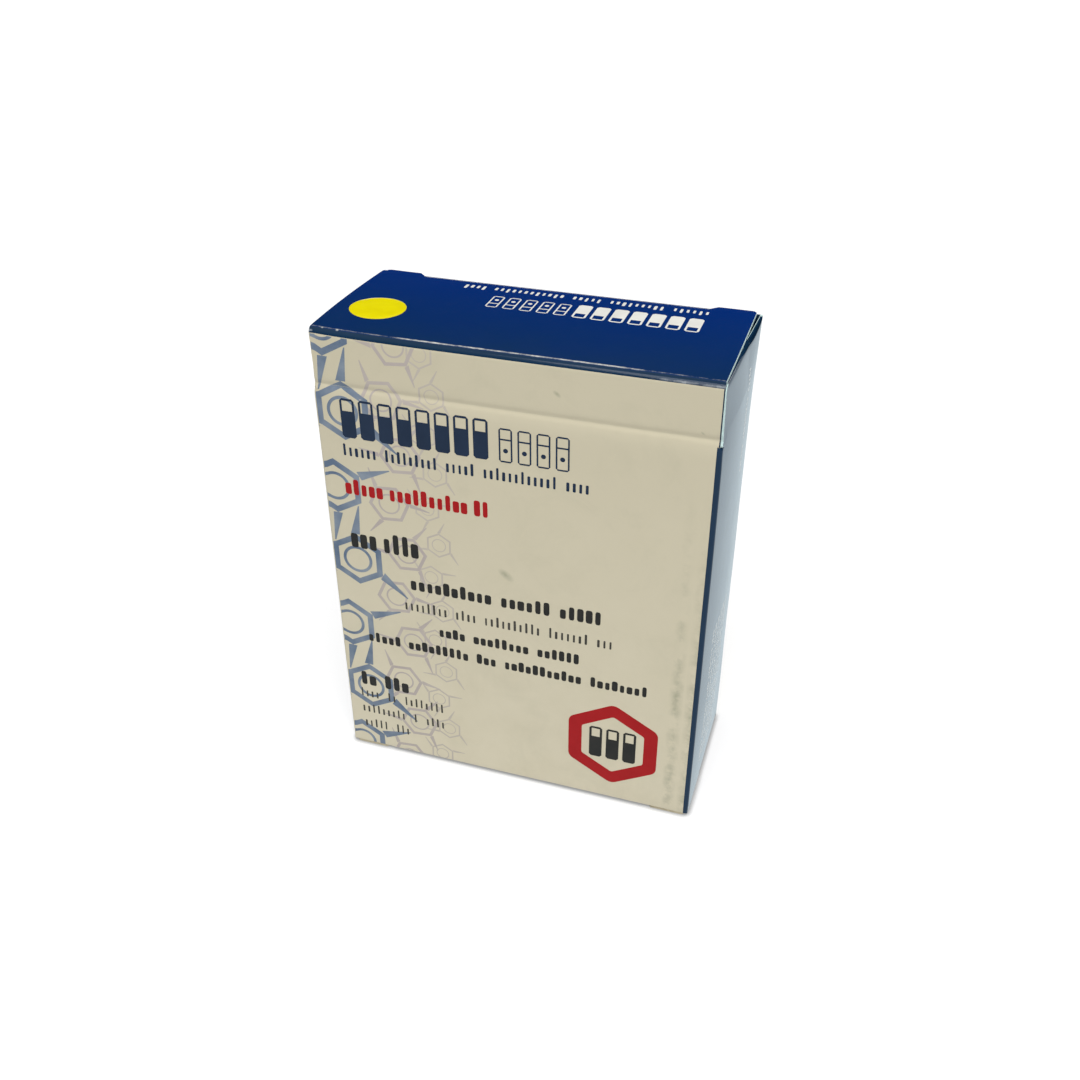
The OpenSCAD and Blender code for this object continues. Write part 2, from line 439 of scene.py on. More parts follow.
@dataclass(frozen=True)
class RawBoard(Surface):
    """The uncoated side or the cut edge of the board: matt grey-white pulp with short fibres."""

    colour: str
    fibre: str
    fibre_width: float = 0.12
    fibre_length: float = 1.1
    fibre_height: float = 0.006
    cloud: float = 5.0
    roughness: float = 0.85

    def looks(self, on: Ground) -> dict[str, object]:
        """Gives the looks of the pulp, with its fibres showing in clouds.

        Args:
            on: The material's ground.

        Returns:
            The shader's inputs.
        """
        along = self.fibre_width / self.fibre_length
        stretched = add(on.tree, "ShaderNodeMapping", {"Vector": on.place, "Scale": (along, 1.0, along)})
        fibres = add(on.tree, "ShaderNodeTexNoise", {
            "Vector": stretched, "Scale": per_metre(self.fibre_width), "Detail": 4.0, "Distortion": 0.8})
        clouds = add(on.tree, "ShaderNodeTexNoise", {
            "Vector": on.place, "Scale": per_metre(self.cloud), "Detail": 3.0})
        mixed = add(on.tree, "ShaderNodeMath", {0: fibres, 1: clouds}, operation="MULTIPLY")
        share = add(on.tree, "ShaderNodeMapRange", {"Value": mixed, "From Min": 0.16, "From Max": 0.4})
        colour = add(on.tree, "ShaderNodeMix", {
            "Factor": share, "A": linear(self.colour), "B": linear(self.fibre)}, data_type="RGBA")
        uneven = add(on.tree, "ShaderNodeBump", {"Height": fibres, "Distance": self.fibre_height * MM})
        return {"Base Color": colour, "Roughness": self.roughness, "Normal": uneven}


@dataclass(frozen=True)
class Ink(Surface):
    """Offset printing ink under the varnish: even, with a trace of the paper in it."""

    colour: str
    tint: str
    patch: float = 3.0
    roughness: float = 0.36
    ior: float = 1.3
    grain: float = 0.35
    grain_height: float = 0.002

    def looks(self, on: Ground) -> dict[str, object]:
        """Gives the looks of the ink, over the grain of the board.

        Args:
            on: The material's ground.

        Returns:
            The shader's inputs.
        """
        tone = on.drift(self.patch, (0.35, 0.65), Detail=6.0)
        colour = add(on.tree, "ShaderNodeMix", {
            "Factor": tone, "A": linear(self.colour), "B": linear(self.tint)}, data_type="RGBA")
        return {
            "Base Color": colour,
            "Roughness": self.roughness,
            "IOR": self.ior,
            "Normal": on.relief(self.grain, self.grain_height),
        }


@dataclass(frozen=True)
class Glass(Surface):
    """Soda-lime glass: a faint green, either float-smooth or ground to a fine frost."""

    colour: str
    roughness: float
    grit: float = 0.0
    grit_height: float = 0.01
    clearness: float = 1.0
    smear: float = 9.0
    ior: float = 1.52

    def looks(self, on: Ground) -> dict[str, object]:
        """Gives the looks of the glass, with a faint smear on it.

        Args:
            on: The material's ground.

        Returns:
            The shader's inputs.
        """
        smeared = (self.roughness, self.roughness * 1.5 + 0.02)
        looks = {
            "Base Color": linear(self.colour),
            "Roughness": on.drift(self.smear, shares=smeared, Detail=3.0),
            "IOR": self.ior,
            "Transmission Weight": self.clearness,
        }
        if self.grit:
            looks["Normal"] = on.relief(self.grit, self.grit_height)
        return looks


class Finish(Enum):
    """The finishes of the carton and of what is in it."""

    # The front and back: a warm off-white with a soft gloss, painted darker toward the top as shade
    CREAM = CoatedBoard("cream_coated_board", colour="#DAD2BA", tint="#D5CDB4", bare="#E6E2D5",
                        soil="#8F9178", soil_share=0.12, speck="#6E6A5C", speck_share=0.1,
                        roughness=0.34, ior=1.32, fade=PaintedLightFade("#CBC3AA", Axis.Z, 8.0, 78.0),
                        scuffs=(27.3, 29.9), smears=((-0.9, 43.0, 3.4), (7.1, 75.2, 1.6), (27.9, 72.3, 0.9)))
    # The lid's top: a deep blue under a bright varnish, which the folds show rubbed, painted deeper and bluer
    # toward the back as a change of light
    NAVY = CoatedBoard("navy_varnished_board", colour="#0A2E59", tint="#082C5E", bare="#E2E1D8",
                       soil="#0E3468", soil_share=0.25, speck="#B4C2D8", speck_share=0.16,
                       roughness=0.13, ior=1.32, fade=PaintedLightFade("#002C76", Axis.Y, -13.0, 13.0))
    # The sides and the edge bands: a darker, greyer copy of the top's navy under the same varnish, painted
    # shade for how the light falls on them
    SHADED_NAVY = CoatedBoard("shaded_navy_varnished_board", colour="#112C45", tint="#132F4A", bare="#B9BFC2",
                            soil="#15324A", soil_share=0.25, speck="#8FA3B4", speck_share=0.1,
                            roughness=0.13, ior=1.32)
    # The uncoated back: beige pulp, which shows inside and at the foot
    RAW = RawBoard("raw_back_of_board", colour="#CBC0A3", fibre="#B2A78A")
    # Where the blade went through the coating: white pulp, painted a bright cyan-white that also stands in
    # for the glint along the lid's right edge
    CUT = RawBoard("cut_board_edge", colour="#CFE6E3", fibre="#B8D0CE", fibre_width=0.05, fibre_length=0.4)
    # The inks: offset printed, thin and even, with the soft gloss of the varnish over them
    NAVY_INK = Ink("navy_ink", "#14253D", "#1A2B44")
    DARK_INK = Ink("black_ink", "#1F1D1A", "#272420")
    THIN_INK = Ink("thin_black_ink", "#3C3933", "#47443D")
    RED_INK = Ink("red_ink", "#A2040A", "#A90A10")
    WHITE_INK = Ink("white_ink", "#F4F3EC", "#EAE9E2", roughness=0.16, ior=1.4)
    SLATE_INK = Ink("slate_blue_ink", "#5F7086", "#8893A0", patch=4.5)
    LILAC_INK = Ink("lilac_grey_ink", "#B3A9A4", "#BDB4AC", patch=5.0)
    PALE_INK = Ink("pale_grey_ink", "#C1B9AC", "#BBB2A8", patch=5.0)
    # The sticker: paper printed a strong yellow, with a bright varnish
    YELLOW_PAPER = Ink("yellow_sticker_paper", "#EFE200", "#EADB00", patch=2.5, roughness=0.16)
    # The slides' faces, flat and clear as they float on tin, and their edges, frosted by a wheel
    CLEAR_GLASS = Glass("float_glass", "#EAF6F0", 0.0)
    GROUND_GLASS = Glass("ground_glass_edge", "#CFE4DA", 0.5, grit=0.08, clearness=0.3)
    # The slides' writing area: a matt baked enamel that takes pencil
    ENAMEL = Ink("yellow_writing_enamel", "#E8CF1E", "#E2C714", patch=1.5, roughness=0.7)

    def material(self) -> Material:
        """Gives this finish's material, built the first time that it is asked for."""
        return bpy.data.materials.get(self.value.name) or self.value.material()


# ---- Sizes ----


@dataclass(frozen=True)
class CartonSize:
    """The closed carton's outside, the height of its lid's crease, its board and its colours' borders."""

    half_width: float
    half_depth: float
    height: float
    crease: float
    board: float = 0.4  # the board's thickness
    split: float = 0.04  # between two pieces of board at a crease that moves
    wrap: float = 0.8  # how far the sides' navy comes round the upright folds
    band: float = 0.74  # how far the top's navy comes down the front
    bleed: float = 0.15  # how far the navy comes in at the lid's right edge, painted as shade beside the gap there
    glint_strip: float = 0.05  # a strip in the cut edge's colour along the right of the lid's top, a painted highlight
    rim: float = 0.13  # and a bright line of it along the inner edge of the right wall's head, a painted highlight
    gap: float = 0.05  # between the lid and a side panel
    cut: float = 0.1  # between the bottom crease's end and the corner's round
    corner_r: float = 0.7  # of the upright folds
    fold_r: float = 1.0  # of the level ones
    ear: float = 7.2  # the length of the ears beside a tuck flap
    dust_end: float = 3.6  # how far back the dust flaps reach, in Y
    slit_drop: float = 1.0  # how far the slits beside the lid reach down past its crease

    @property
    def lid_half_width(self) -> float:
        """Half the width of the lid, which closes between the side panels."""
        return self.half_width - self.board - self.gap

    @classmethod
    def from_frame(cls) -> "CartonSize":
        """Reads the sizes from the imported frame.

        Returns:
            The sizes.
        """
        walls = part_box("carton")
        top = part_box("lid")[1].z
        hinge = next(j for j in frame["joints"] if j["name"] == "lid_hinge")
        return cls(half_width=walls[1].x / MM, half_depth=walls[1].y / MM, height=top / MM,
                   crease=hinge["pos_m"][2] / MM)

    def back_share(self, point: Vector) -> float:
        """Gives how far back a point is, as a share of the carton's depth."""
        return (point.y + self.half_depth) / (2 * self.half_depth)

    def wall_share(self, point: Vector) -> float:
        """Gives how far out a point is from the lid's right edge, as a share of the way to the outside."""
        return (point.x - self.lid_half_width) / (self.half_width - self.lid_half_width)


@dataclass(frozen=True)
class Panel:
    """A flat side of the carton, with directions along it. Its normal is across x up."""

    origin: Vector
    across: Vector
    up: Vector

    @property
    def normal(self) -> Vector:
        """The direction out of the panel."""
        return self.across.cross(self.up)

    def point(self, u: float, v: float) -> Vector:
        """Gives the point at u across the panel and v up it."""
        return self.origin + self.across * u + self.up * v


class Panels:
    """The printed panels of the carton."""

    def __init__(self, size: CartonSize) -> None:
        """Places the panels at the carton's outside.

        Args:
            size: The carton's sizes.
        """
        x, y, z = Vector((1, 0, 0)), Vector((0, 1, 0)), Vector((0, 0, 1))
        self.front = Panel(-y * size.half_depth, x, z)
        self.top = Panel(z * size.height, -x, -y)
        self.right = Panel(x * size.half_width, z, -y)


# ---- Bending ----


def clamp(share: float) -> float:
    """Keeps a share between 0 and 1."""
    return min(1.0, max(0.0, share))


def bell(place: float, width: float) -> float:
    """Gives 1 at a place of 0, and less the further it is from there."""
    return math.exp(-((place / width) ** 2))


@dataclass(frozen=True)
class Warp:
    """How the standing carton departs from a true box: bulges, a crease groove and a lifted edge."""

    size: CartonSize
    front_bulge: float = 0.25  # of the front and the back, at the middle
    side_bulge: float = 0.45  # of the sides, at the middle
    left_swell: float = 0.3  # of the whole left side, below its head
    left_head: float = 9.0  # the height of that head, where the swell comes in
    crown: float = 0.12  # how far the top's middle rises
    crown_share: float = 0.1  # the share of the height, at the top, that rises with it
    edge_lift: float = 0.34  # how far the lid's left edge stands up
    front_skin: float = 1.5  # how far behind the front a point still moves with it
    edge_skin: float = 1.0  # how far inside the lid's right edge a point still moves with that
    dent: float = 0.22  # how deep the groove along the lid's crease is
    dent_width: float = 0.5
    set_back: float = 0.08  # how far the lid's strip stands in above the groove
    set_back_reach: float = 5.0  # and the height over which it comes out again
    swell: float = 0.12  # how far the front stands out under the groove
    swell_drop: float = 2.2  # how far under the crease it stands out most
    swell_reach: tuple[float, float] = (1.0, 6.0)  # above that place and below it
    lap: float = 0.52  # how far the lid reaches over the left wall's edge, at the top
    foot_lap: float = 0.04  # and at its crease
    lap_width: float = 0.4  # the width of lid that is drawn out so far
    lap_skin: float = 1.4  # how far behind the front the wall's edge still stands back
    slit_foot: float = 0.06  # the height over which a slit opens
    lean: float = 0.3  # how far the right edges stand in at the front
    lean_reach: float = 13.0  # the height over which they do
    wall_start: float = 0.05  # the wall share past which a point is the wall's
    lid_lean_share: float = 0.17  # the share of it at the lid's edge
    wall_lean_share: float = 0.12  # and at the wall's inner face
    spring: float = 0.46  # how far the right wall's head stands off the lid, at the back
    spring_reach: float = 26.0  # the height over which it does
    roll: float = 0.2  # how far that head rolls in over the dust flap's fold
    roll_drop: float = 1.6  # the height over which it does
    roll_top: float = 0.45  # the height over that, which rolls in further
    roll_share: float = 0.15  # the share of it at the front
    roll_end: float = 2.0  # how far past the dust flap it fades out
    ear_droop: float = 0.12  # how far the bottom flap's ears hang
    ripple: float = 0.05  # how unevenly the panels lie
    ripple_pitch: float = 15.0

    def moved(self, point: Vector, body: str) -> Vector:
        """Gives where a point of the true box lies on the real carton.

        Args:
            point: The point in the true box.
            body: The body that it belongs to.

        Returns:
            The point moved.
        """
        size = self.size
        dx, dy, dz = self._bulged(point)
        if point.y < -size.half_depth + self.front_skin:
            dy += self._creased(point.z - size.crease)
            if body == "bottom_flap":
                droop = clamp((size.lid_half_width - abs(point.x)) / size.ear)
                dz -= self.ear_droop * droop * point.z / size.board
        is_right = point.x > size.lid_half_width - self.edge_skin
        if body in ("carton", "lid") and is_right:
            dx -= self._leaned(point)
        moved = point + Vector((dx, dy, dz)) + self._lapped(point, body)
        if body == "carton":
            if is_right:
                moved.x += self._sprung(point) - self._rolled(point)
            moved += self._squared_corner(point)
        return moved

    def _bulged(self, point: Vector) -> tuple[float, float, float]:
        """Gives how far a point moves with its panel, which bulges and lies unevenly.

        Args:
            point: The point in the true box.

        Returns:
            The move along X, Y and Z.
        """
        size = self.size
        sx, sy = point.x / size.half_width, point.y / size.half_depth
        t = clamp(point.z / size.height)
        belly = 4 * t * (1 - t)
        side_belly = min(1.0, 4 * t, 10 * (1 - t) if sx > 0 else 1.0)
        uneven = noise.noise(point / self.ripple_pitch) * self.ripple * min(1.0, 3 * belly)
        dy = sy * (1 - sx * sx) * belly * self.front_bulge + sy**3 * uneven
        dx = sx**5 * (1 - sy * sy) * side_belly * self.side_bulge + sx**3 * uneven
        if sx < 0:
            dx -= self.left_swell * sx * sx * min(1.0, (size.height - point.z) / self.left_head)
        lift = self.crown * (1 - sx * sx) * (1 - sy * sy)
        lift += self.edge_lift * max(0.0, -sx) ** 5 * (0.6 - 0.4 * sy)
        return dx, dy, lift * max(0.0, (t - 1 + self.crown_share) / self.crown_share)

    def _creased(self, above: float) -> float:
        """Gives how far the front is pressed in beside the lid's crease.

        The board swells under the crease, goes in steeply, and comes slowly out on the lid.

        Args:
            above: How far over the crease the point is.

        Returns:
            How far it moves back.
        """
        groove = bell(above, self.dent_width)
        if above > 0:
            stood_in = self.set_back * math.exp(-above / self.set_back_reach)
            return stood_in + (self.dent - self.set_back) * groove
        past = above + self.swell_drop
        return self.dent * groove - self.swell * bell(past, self.swell_reach[0 if past > 0 else 1])

    def _lapped(self, point: Vector, body: str) -> Vector:
        """Gives how the lid reaches to the left edge, in front of the wall's, which stands back.

        Args:
            point: The point in the true box.
            body: The body that it belongs to.

        Returns:
            The move.
        """
        size = self.size
        over = self._beside_slit(point)
        if body == "lid" or point.x > -size.lid_half_width - size.gap / 2:
            past = clamp((-point.x - size.lid_half_width + self.lap_width) / self.lap_width)
            rise = max(0.0, (point.z - size.crease) / (size.height - size.crease))
            return Vector((-(self.foot_lap + (self.lap - self.foot_lap) * rise) * past * over, 0, 0))
        near = clamp(self.lap_skin - point.y - size.half_depth)
        return Vector((0, (size.board + size.gap) * near * over, 0))

    def _beside_slit(self, point: Vector) -> float:
        """Gives 1 where the lid's slits part the corner, above their feet, and 0 lower down."""
        return clamp((point.z - self.size.crease + self.size.slit_drop) / self.slit_foot)

    def _leaned(self, point: Vector) -> float:
        """Gives how far the lid's right edge stands in at the front, and the wall's beside it.

        Args:
            point: The point in the true box.

        Returns:
            How far it moves in.
        """
        size = self.size
        rise = max(0.0, 1 - (size.height - point.z) / self.lean_reach)
        near = max(0.0, -point.y / size.half_depth) ** 2
        beside = size.wall_share(point)
        if beside < self.wall_start:
            share = self.lid_lean_share * (point.x - size.lid_half_width + self.edge_skin)
        else:
            share = self.wall_lean_share + (1 - self.wall_lean_share) * beside
        return self.lean * rise * near * share

    def _sprung(self, point: Vector) -> float:
        """Gives how far the right wall's head springs away from the lid, from the dust flap back.

        Args:
            point: The point in the true box.

        Returns:
            How far it moves out.
        """
        size = self.size
        high = max(0.0, 1 - (size.height - point.z) / self.spring_reach)
        back = max(0.0, (point.y - size.dust_end) / (size.half_depth - size.dust_end))
        outside = clamp(point.x - size.lid_half_width + self.edge_skin)
        return self.spring * high**2 * back * outside

    def _rolled(self, point: Vector) -> float:
        """Gives how far the right wall's head rolls inward over the dust flap's fold.

        Args:
            point: The point in the true box.

        Returns:
            How far it moves in.
        """
        size = self.size
        rise = max(0.0, 1 - (size.height - self.roll_top - point.z) / self.roll_drop)
        along = self.roll_share + (1 - self.roll_share) * size.back_share(point)
        front = clamp((size.dust_end + self.roll_end - point.y) / self.roll_end)
        return self.roll * rise**1.6 * along * front * max(0.0, size.wall_share(point))

    def _squared_corner(self, point: Vector) -> Vector:
        """Gives the move of a point of an upright fold towards its corner: thin board folds sharply.

        Args:
            point: The point in the true box.

        Returns:
            The move.
        """
        size = self.size
        aside = abs(point.x) - size.half_width + size.corner_r
        out = abs(point.y) - size.half_depth + size.corner_r
        if aside <= 0 or out <= 0 or (point.y < 0 and self._beside_slit(point) > 0):
            return Vector((0, 0, 0))
        reach = math.hypot(aside, out)
        return Vector((math.copysign(math.sqrt(reach * aside) - aside, point.x),
                       math.copysign(math.sqrt(reach * out) - out, point.y), 0))


# ---- Meshes ----


def cut_across(bm: WorkMesh, axis: Axis, place: float, cleared: float = 0.0) -> None:
    """Cuts a mesh with a plane across an axis.

    Args:
        bm: The mesh.
        axis: The axis.
        place: Where the plane stands along it.
        cleared: The side to clear away: 1 past the plane, -1 before it, or 0 for neither.
    """
    facing = cleared or 1.0
    normal = Vector(facing if i == axis else 0.0 for i in range(3))
    bmesh.ops.bisect_plane(bm, geom=[*bm.verts, *bm.edges, *bm.faces], dist=1e-4,
                           plane_co=normal * facing * place, plane_no=normal, clear_outer=cleared != 0)


@dataclass
class Grid:
    """The planes that cut board and print alike, so that both bend along the same lines."""

    size: CartonSize
    pitch: float = 2.2
    crease_steps: tuple[float, ...] = (0.1, 0.2, 0.32, 0.46, 0.65, 0.95, 1.4, 2.0, 2.8)
    crease_clear: float = 3.4  # how far from the crease the even net starts
    head_drops: tuple[float, ...] = (0.06, 0.14, 0.24, 0.4, 0.6, 1.1, 1.5, 1.9, 2.4)
    chips: tuple[float, ...] = (-29.0, -26.6)  # the places in X of two chips of the top's fold
    chip_step: float = 0.3
    fold_steps: tuple[float, ...] = (0.15, 0.35, 0.7)  # behind the top's front fold
    lap_steps: tuple[float, ...] = (0.4, 0.2)  # inside the lid's left edge
    planes: list[tuple[Axis, float]] = field(init=False)

    def __post_init__(self) -> None:
        """Lays out the planes: an even net, finer across the crease, and the colours' borders."""
        size, x, y, z = self.size, *Axis
        w, d, h = size.half_width, size.half_depth, size.height
        lid_edge = size.lid_half_width
        self.planes = [
            *((x, place) for place in self._even(-w, w)),
            *((y, place) for place in self._even(-d, d)),
            *((z, place) for place in self._even(0, h) if abs(place - size.crease) > self.crease_clear),
            *((z, size.crease + side * step) for step in self.crease_steps for side in (-1, 1)),
            *((z, h - drop) for drop in self.head_drops),
            (x, lid_edge - size.bleed),
            (x, lid_edge - size.glint_strip),
            *((x, chip + side * self.chip_step) for chip in self.chips for side in (-1, 0, 1)),
            *((y, size.fold_r - d + step) for step in self.fold_steps),
            (x, lid_edge + size.rim),
            *((x, step - lid_edge) for step in self.lap_steps),
            (y, size.dust_end),
            (y, d - size.corner_r),
            (x, w - size.wrap),
            (x, size.wrap - w),
            (y, size.wrap - d),
            (z, h - size.band),
        ]

    def _even(self, start: float, end: float) -> list[float]:
        """Gives evenly spaced cuts strictly between start and end, about a pitch apart."""
        count = round((end - start) / self.pitch)
        return [start + (end - start) * i / count for i in range(1, count)]

    def cut(self, bm: WorkMesh) -> None:
        """Cuts a mesh along every plane that crosses it.

        Args:
            bm: The mesh.
        """
        if not bm.verts:
            return
        for axis, place in self.planes:
            if min(v.co[axis] for v in bm.verts) < place < max(v.co[axis] for v in bm.verts):
                cut_across(bm, axis, place)


def to_mesh(bm: WorkMesh, name: str) -> Mesh:
    """Turns a working mesh to a plain one.

    Args:
        bm: The working mesh, which is freed.
        name: The plain mesh's name.

    Returns:
        The plain mesh.
    """
    mesh = bpy.data.meshes.new(name)
    bm.to_mesh(mesh)
    bm.free()
    return mesh


def new_object(name: str, data: bpy.types.ID) -> Object:
    """Adds an object to the scene.

    Args:
        name: The object's name.
        data: Its mesh, lamp or camera.

    Returns:
        The object, at the origin.
    """
    obj = bpy.data.objects.new(name, data)
    bpy.context.scene.collection.objects.link(obj)
    return obj


def to_object(bm: WorkMesh, name: str, finishes: Iterable[Finish]) -> Object:
    """Turns a mesh in millimetres to an object in metres, shaded smooth with crisp edges.

    Args:
        bm: The mesh, which is freed.
        name: The object's name.
        finishes: A finish for each material slot.

    Returns:
        The object, at the origin.
    """
    mesh = to_mesh(bm, name)
    mesh.transform(Matrix.Scale(MM, 4))
    for finish in finishes:
        mesh.materials.append(finish.material())
    mesh.shade_smooth()
    mesh.set_sharp_from_angle(angle=CRISP_ANGLE)
    return new_object(name, mesh)


# ---- Board ----


class Layer(IntEnum):
    """What shows on a face of the board, by its material slot."""

    CREAM = 0
    NAVY = 1
    SHADED_NAVY = 2
    RAW = 3
    CUT = 4


@dataclass
class BoardPiece:
    """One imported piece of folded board, cut to the grid, sorted by side and bent."""

    node: str
    body: str
    slot: str
    size: CartonSize
    grid: Grid
    warp: Warp
    is_cream: Callable[[Vector], bool] | None = None
    is_wall: bool = False
    finishes: tuple[Finish, ...] = (Finish.CREAM, Finish.NAVY, Finish.SHADED_NAVY, Finish.RAW, Finish.CUT)
    probe: float = 2.3  # how many boards deep a face is searched for the other side of its board
    probe_start: float = 0.01  # how far under the face the search starts
    upward: float = 0.97  # the normal's Z at which a face counts as looking up
    painted_shade_patch: tuple[float, float] = (2.0, 4.0)  # its depth and height inside the right wall's head, where navy is painted on as shade
    lip: float = 0.1  # how far inside the lid's sides its cut edges start
    inner_head: float = 1.0  # the height at the walls' head where their edges differ
    chips: tuple[tuple[float, float, float], ...] = (
        (-29.0, -12.7, 80.0), (-30.4, -13.4, 79.6), (-26.6, -12.8, 80.0))
    chip_r: float = 0.3
    fold_zone: tuple[float, float] = (2.0, 1.2)  # from the front and from the top, round their fold
    fold_back: float = 1.05  # how far behind the front the line on that fold is, partly rubbed and partly a painted highlight
    fold_width: float = 0.3
    fold_wear_and_highlight: tuple[float, float] = (0.9, 0.6)  # inside the stretch rubbed most, and outside it
    rubbed_most: tuple[float, float] = (-17.0, 19.0)  # that stretch in X
    scuff_start: float = 12.0  # where the scuff under the fold's right half comes in, in X
    scuff_ease: float = 12.0
    scuff_wear: float = 0.68
    scuff_drop: float = 0.56
    scuff_width: float = 0.26
    edge_wear: float = 0.62  # at the other folds
    edge_width: float = 0.4
    dull_height: float = 4.0  # the height over which the varnish turns dull
    dull_depths: tuple[tuple[float, float], ...] = (  # how far back, and how far down it's half dull there
        (0.0, 0.5), (0.2, 0.72), (0.42, 1.0), (0.5, 1.3), (0.75, 1.95), (0.85, 1.95), (0.92, 1.75),
        (1.01, 1.1))

    def build(self) -> Object:
        """Makes the dressed piece, which stands for its node.

        Returns:
            The piece.
        """
        bm = self._copy()
        self.grid.cut(bm)
        self._sort_faces(bm)
        self._rub_folds(bm)
        for v in bm.verts:
            v.co = self.warp.moved(v.co, self.body)
        obj = to_object(bm, f"{self.node}_board", self.finishes)
        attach(obj, self.body)
        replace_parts(obj, self.node)
        return obj

    def _copy(self) -> WorkMesh:
        """Copies the node's mesh in millimetres, with its points merged and flat faces joined.

        Returns:
            The copy.
        """
        bm = bmesh.new()
        bm.from_mesh(frame["nodes"][self.node].data)
        bmesh.ops.transform(bm, matrix=Matrix.Scale(1 / MM, 4), verts=bm.verts)
        bmesh.ops.remove_doubles(bm, verts=bm.verts, dist=0.002)
        bmesh.ops.dissolve_limit(bm, angle_limit=math.radians(0.5), verts=bm.verts, edges=bm.edges)
        return bm

    def _sort_faces(self, bm: WorkMesh) -> None:
        """Gives each face its finish, from the board's thickness behind it and where it looks.

        Args:
            bm: The piece's mesh, not yet bent.
        """
        bm.normal_update()
        tree = BVHTree.FromBMesh(bm)
        centre = Vector((0, 0, self.size.height / 2))
        for face in bm.faces:
            middle = face.calc_center_median_weighted()
            start = middle - face.normal * self.probe_start
            depth = tree.ray_cast(start, -face.normal, self.size.board * self.probe)[3]
            if depth is None:
                face.material_index = self._edge_layer(middle)
            elif face.normal.dot(middle - centre) < 0:
                face.material_index = self._inner_layer(middle)
            else:
                # faces that look up get the lit navy, the others its darker copy as painted shade
                is_top = face.normal.z > self.upward and not self.is_wall
                face.material_index = self._outer_layer(middle, is_top)

    def _inner_layer(self, point: Vector) -> Layer:
        """Gives what shows inside: raw board, but for a navy patch at the right wall's head, painted there as
        shade.

        Args:
            point: The middle of a face.

        Returns:
            The layer.
        """
        size, (depth, height) = self.size, self.painted_shade_patch
        # a navy patch painted inside the right wall's head as shade, where the gap is dark
        is_painted_shade = self.is_wall and point.x > size.half_width - depth and point.z > size.height - height
        return Layer.SHADED_NAVY if is_painted_shade else Layer.RAW

    def _outer_layer(self, point: Vector, is_top: bool) -> Layer:
        """Gives what shows outside: cream, navy on the lid's top, its darker copy elsewhere as painted shade,
        or a painted highlight strip at the right of the lid's top.

        Args:
            point: The middle of a face.
            is_top: Whether it's the top of the lid.

        Returns:
            The layer.
        """
        # a strip of the cut edge's colour on the lid's top, a painted highlight
        if is_top and point.x > self.size.lid_half_width - self.size.glint_strip:
            return Layer.CUT
        if self.is_cream and self.is_cream(point):
            return Layer.CREAM
        # faces that don't look up get the darker copy of the navy, painted shade
        return Layer.NAVY if is_top else Layer.SHADED_NAVY

    def _edge_layer(self, point: Vector) -> Layer:
        """Gives what a cut edge shows: bright pulp, raw board at the foot, the print's colours on the left
        wall's edge, and navy painted on as shade where an edge lies in a gap.

        Args:
            point: The middle of a face.

        Returns:
            The layer.
        """
        size = self.size
        if not self.is_wall:
            if point.z < size.board:
                return Layer.RAW
            # the lid's side edges below its top board, and all of its left edge, are navy: on the right it is
            # painted shade in the gap
            is_side = abs(point.x) > size.lid_half_width - self.lip
            is_navy = is_side and (point.x < 0 or point.z < size.height - size.board)
            return Layer.SHADED_NAVY if is_navy else Layer.CUT
        beside = abs(point.x) - size.lid_half_width
        # the walls' edges inside the lid's width are navy at the head, painted as shade
        if beside < 0:
            return Layer.SHADED_NAVY if point.z > size.height - self.inner_head else Layer.RAW
        if point.x < 0:
            return Layer.CREAM if point.z < size.height - size.band else Layer.SHADED_NAVY
        if point.y < 0 or point.z < size.height - self.inner_head:
            return Layer.CUT
        # behind the dust flap the right wall's head edge is navy, painted as shade
        is_corner = point.y > size.half_depth - size.corner_r
        # a bright line along the head's inner edge, a painted highlight
        is_glint_line = point.y > size.dust_end and beside < size.rim
        return Layer.CUT if is_corner or is_glint_line else Layer.SHADED_NAVY

    def _rub_folds(self, bm: WorkMesh) -> None:
        """Stores how rubbed each point is, with the painted highlight line, and how far its varnish is
        dulled.

        Args:
            bm: The piece's mesh, not yet bent.
        """
        wear, creased = (bm.verts.layers.float.new(name) for name in (WEAR, CREASED))
        for v in bm.verts:
            v[wear] = self._worn_and_highlit(v.co)
            v[creased] = self._dulled(v.co)

    def _worn_and_highlit(self, point: Vector) -> float:
        """Gives the wear at a point: most at the chips, less on the top's front fold, where the line is
        partly a painted highlight, and on the others.

        Args:
            point: The point in the true box.

        Returns:
            The wear, from 0 to 1.
        """
        size = self.size
        drop = size.height - point.z
        worn = max(bell((point - Vector(chip)).length, self.chip_r) for chip in self.chips)
        behind, below = self.fold_zone
        if point.y < behind - size.half_depth and drop < below:
            fold = Vector((point.y + size.half_depth - self.fold_back, drop)).length
            start, end = self.rubbed_most
            # the line along the front fold: partly rubbed print, partly a painted highlight
            line = bell(fold, self.fold_width) * self.fold_wear_and_highlight[0 if start < point.x < end else 1]
            right = clamp((point.x - self.scuff_start) / self.scuff_ease)
            scuff = right * self.scuff_wear * bell(self.scuff_drop - drop, self.scuff_width)
            return max(worn, line, scuff)
        gaps = sorted((size.half_width - abs(point.x), size.half_depth - abs(point.y), drop, point.z))
        return max(worn, self.edge_wear * bell(gaps[0] + gaps[1], self.edge_width))

    def _dulled(self, point: Vector) -> float:
        """Gives how dull the varnish is, over a half inside a band along the right wall's head.

        Args:
            point: The point in the true box.

        Returns:
            The dullness, from 0 to 1.
        """
        size = self.size
        if not self.is_wall or point.x < size.lid_half_width:
            return 0.0
        back = size.back_share(point)
        depth = next(near + (far - near) * (back - a) / (b - a)
                     for (a, near), (b, far) in zip(self.dull_depths, self.dull_depths[1:]) if back <= b)
        return clamp(0.5 + (depth - size.height + point.z) / self.dull_height)


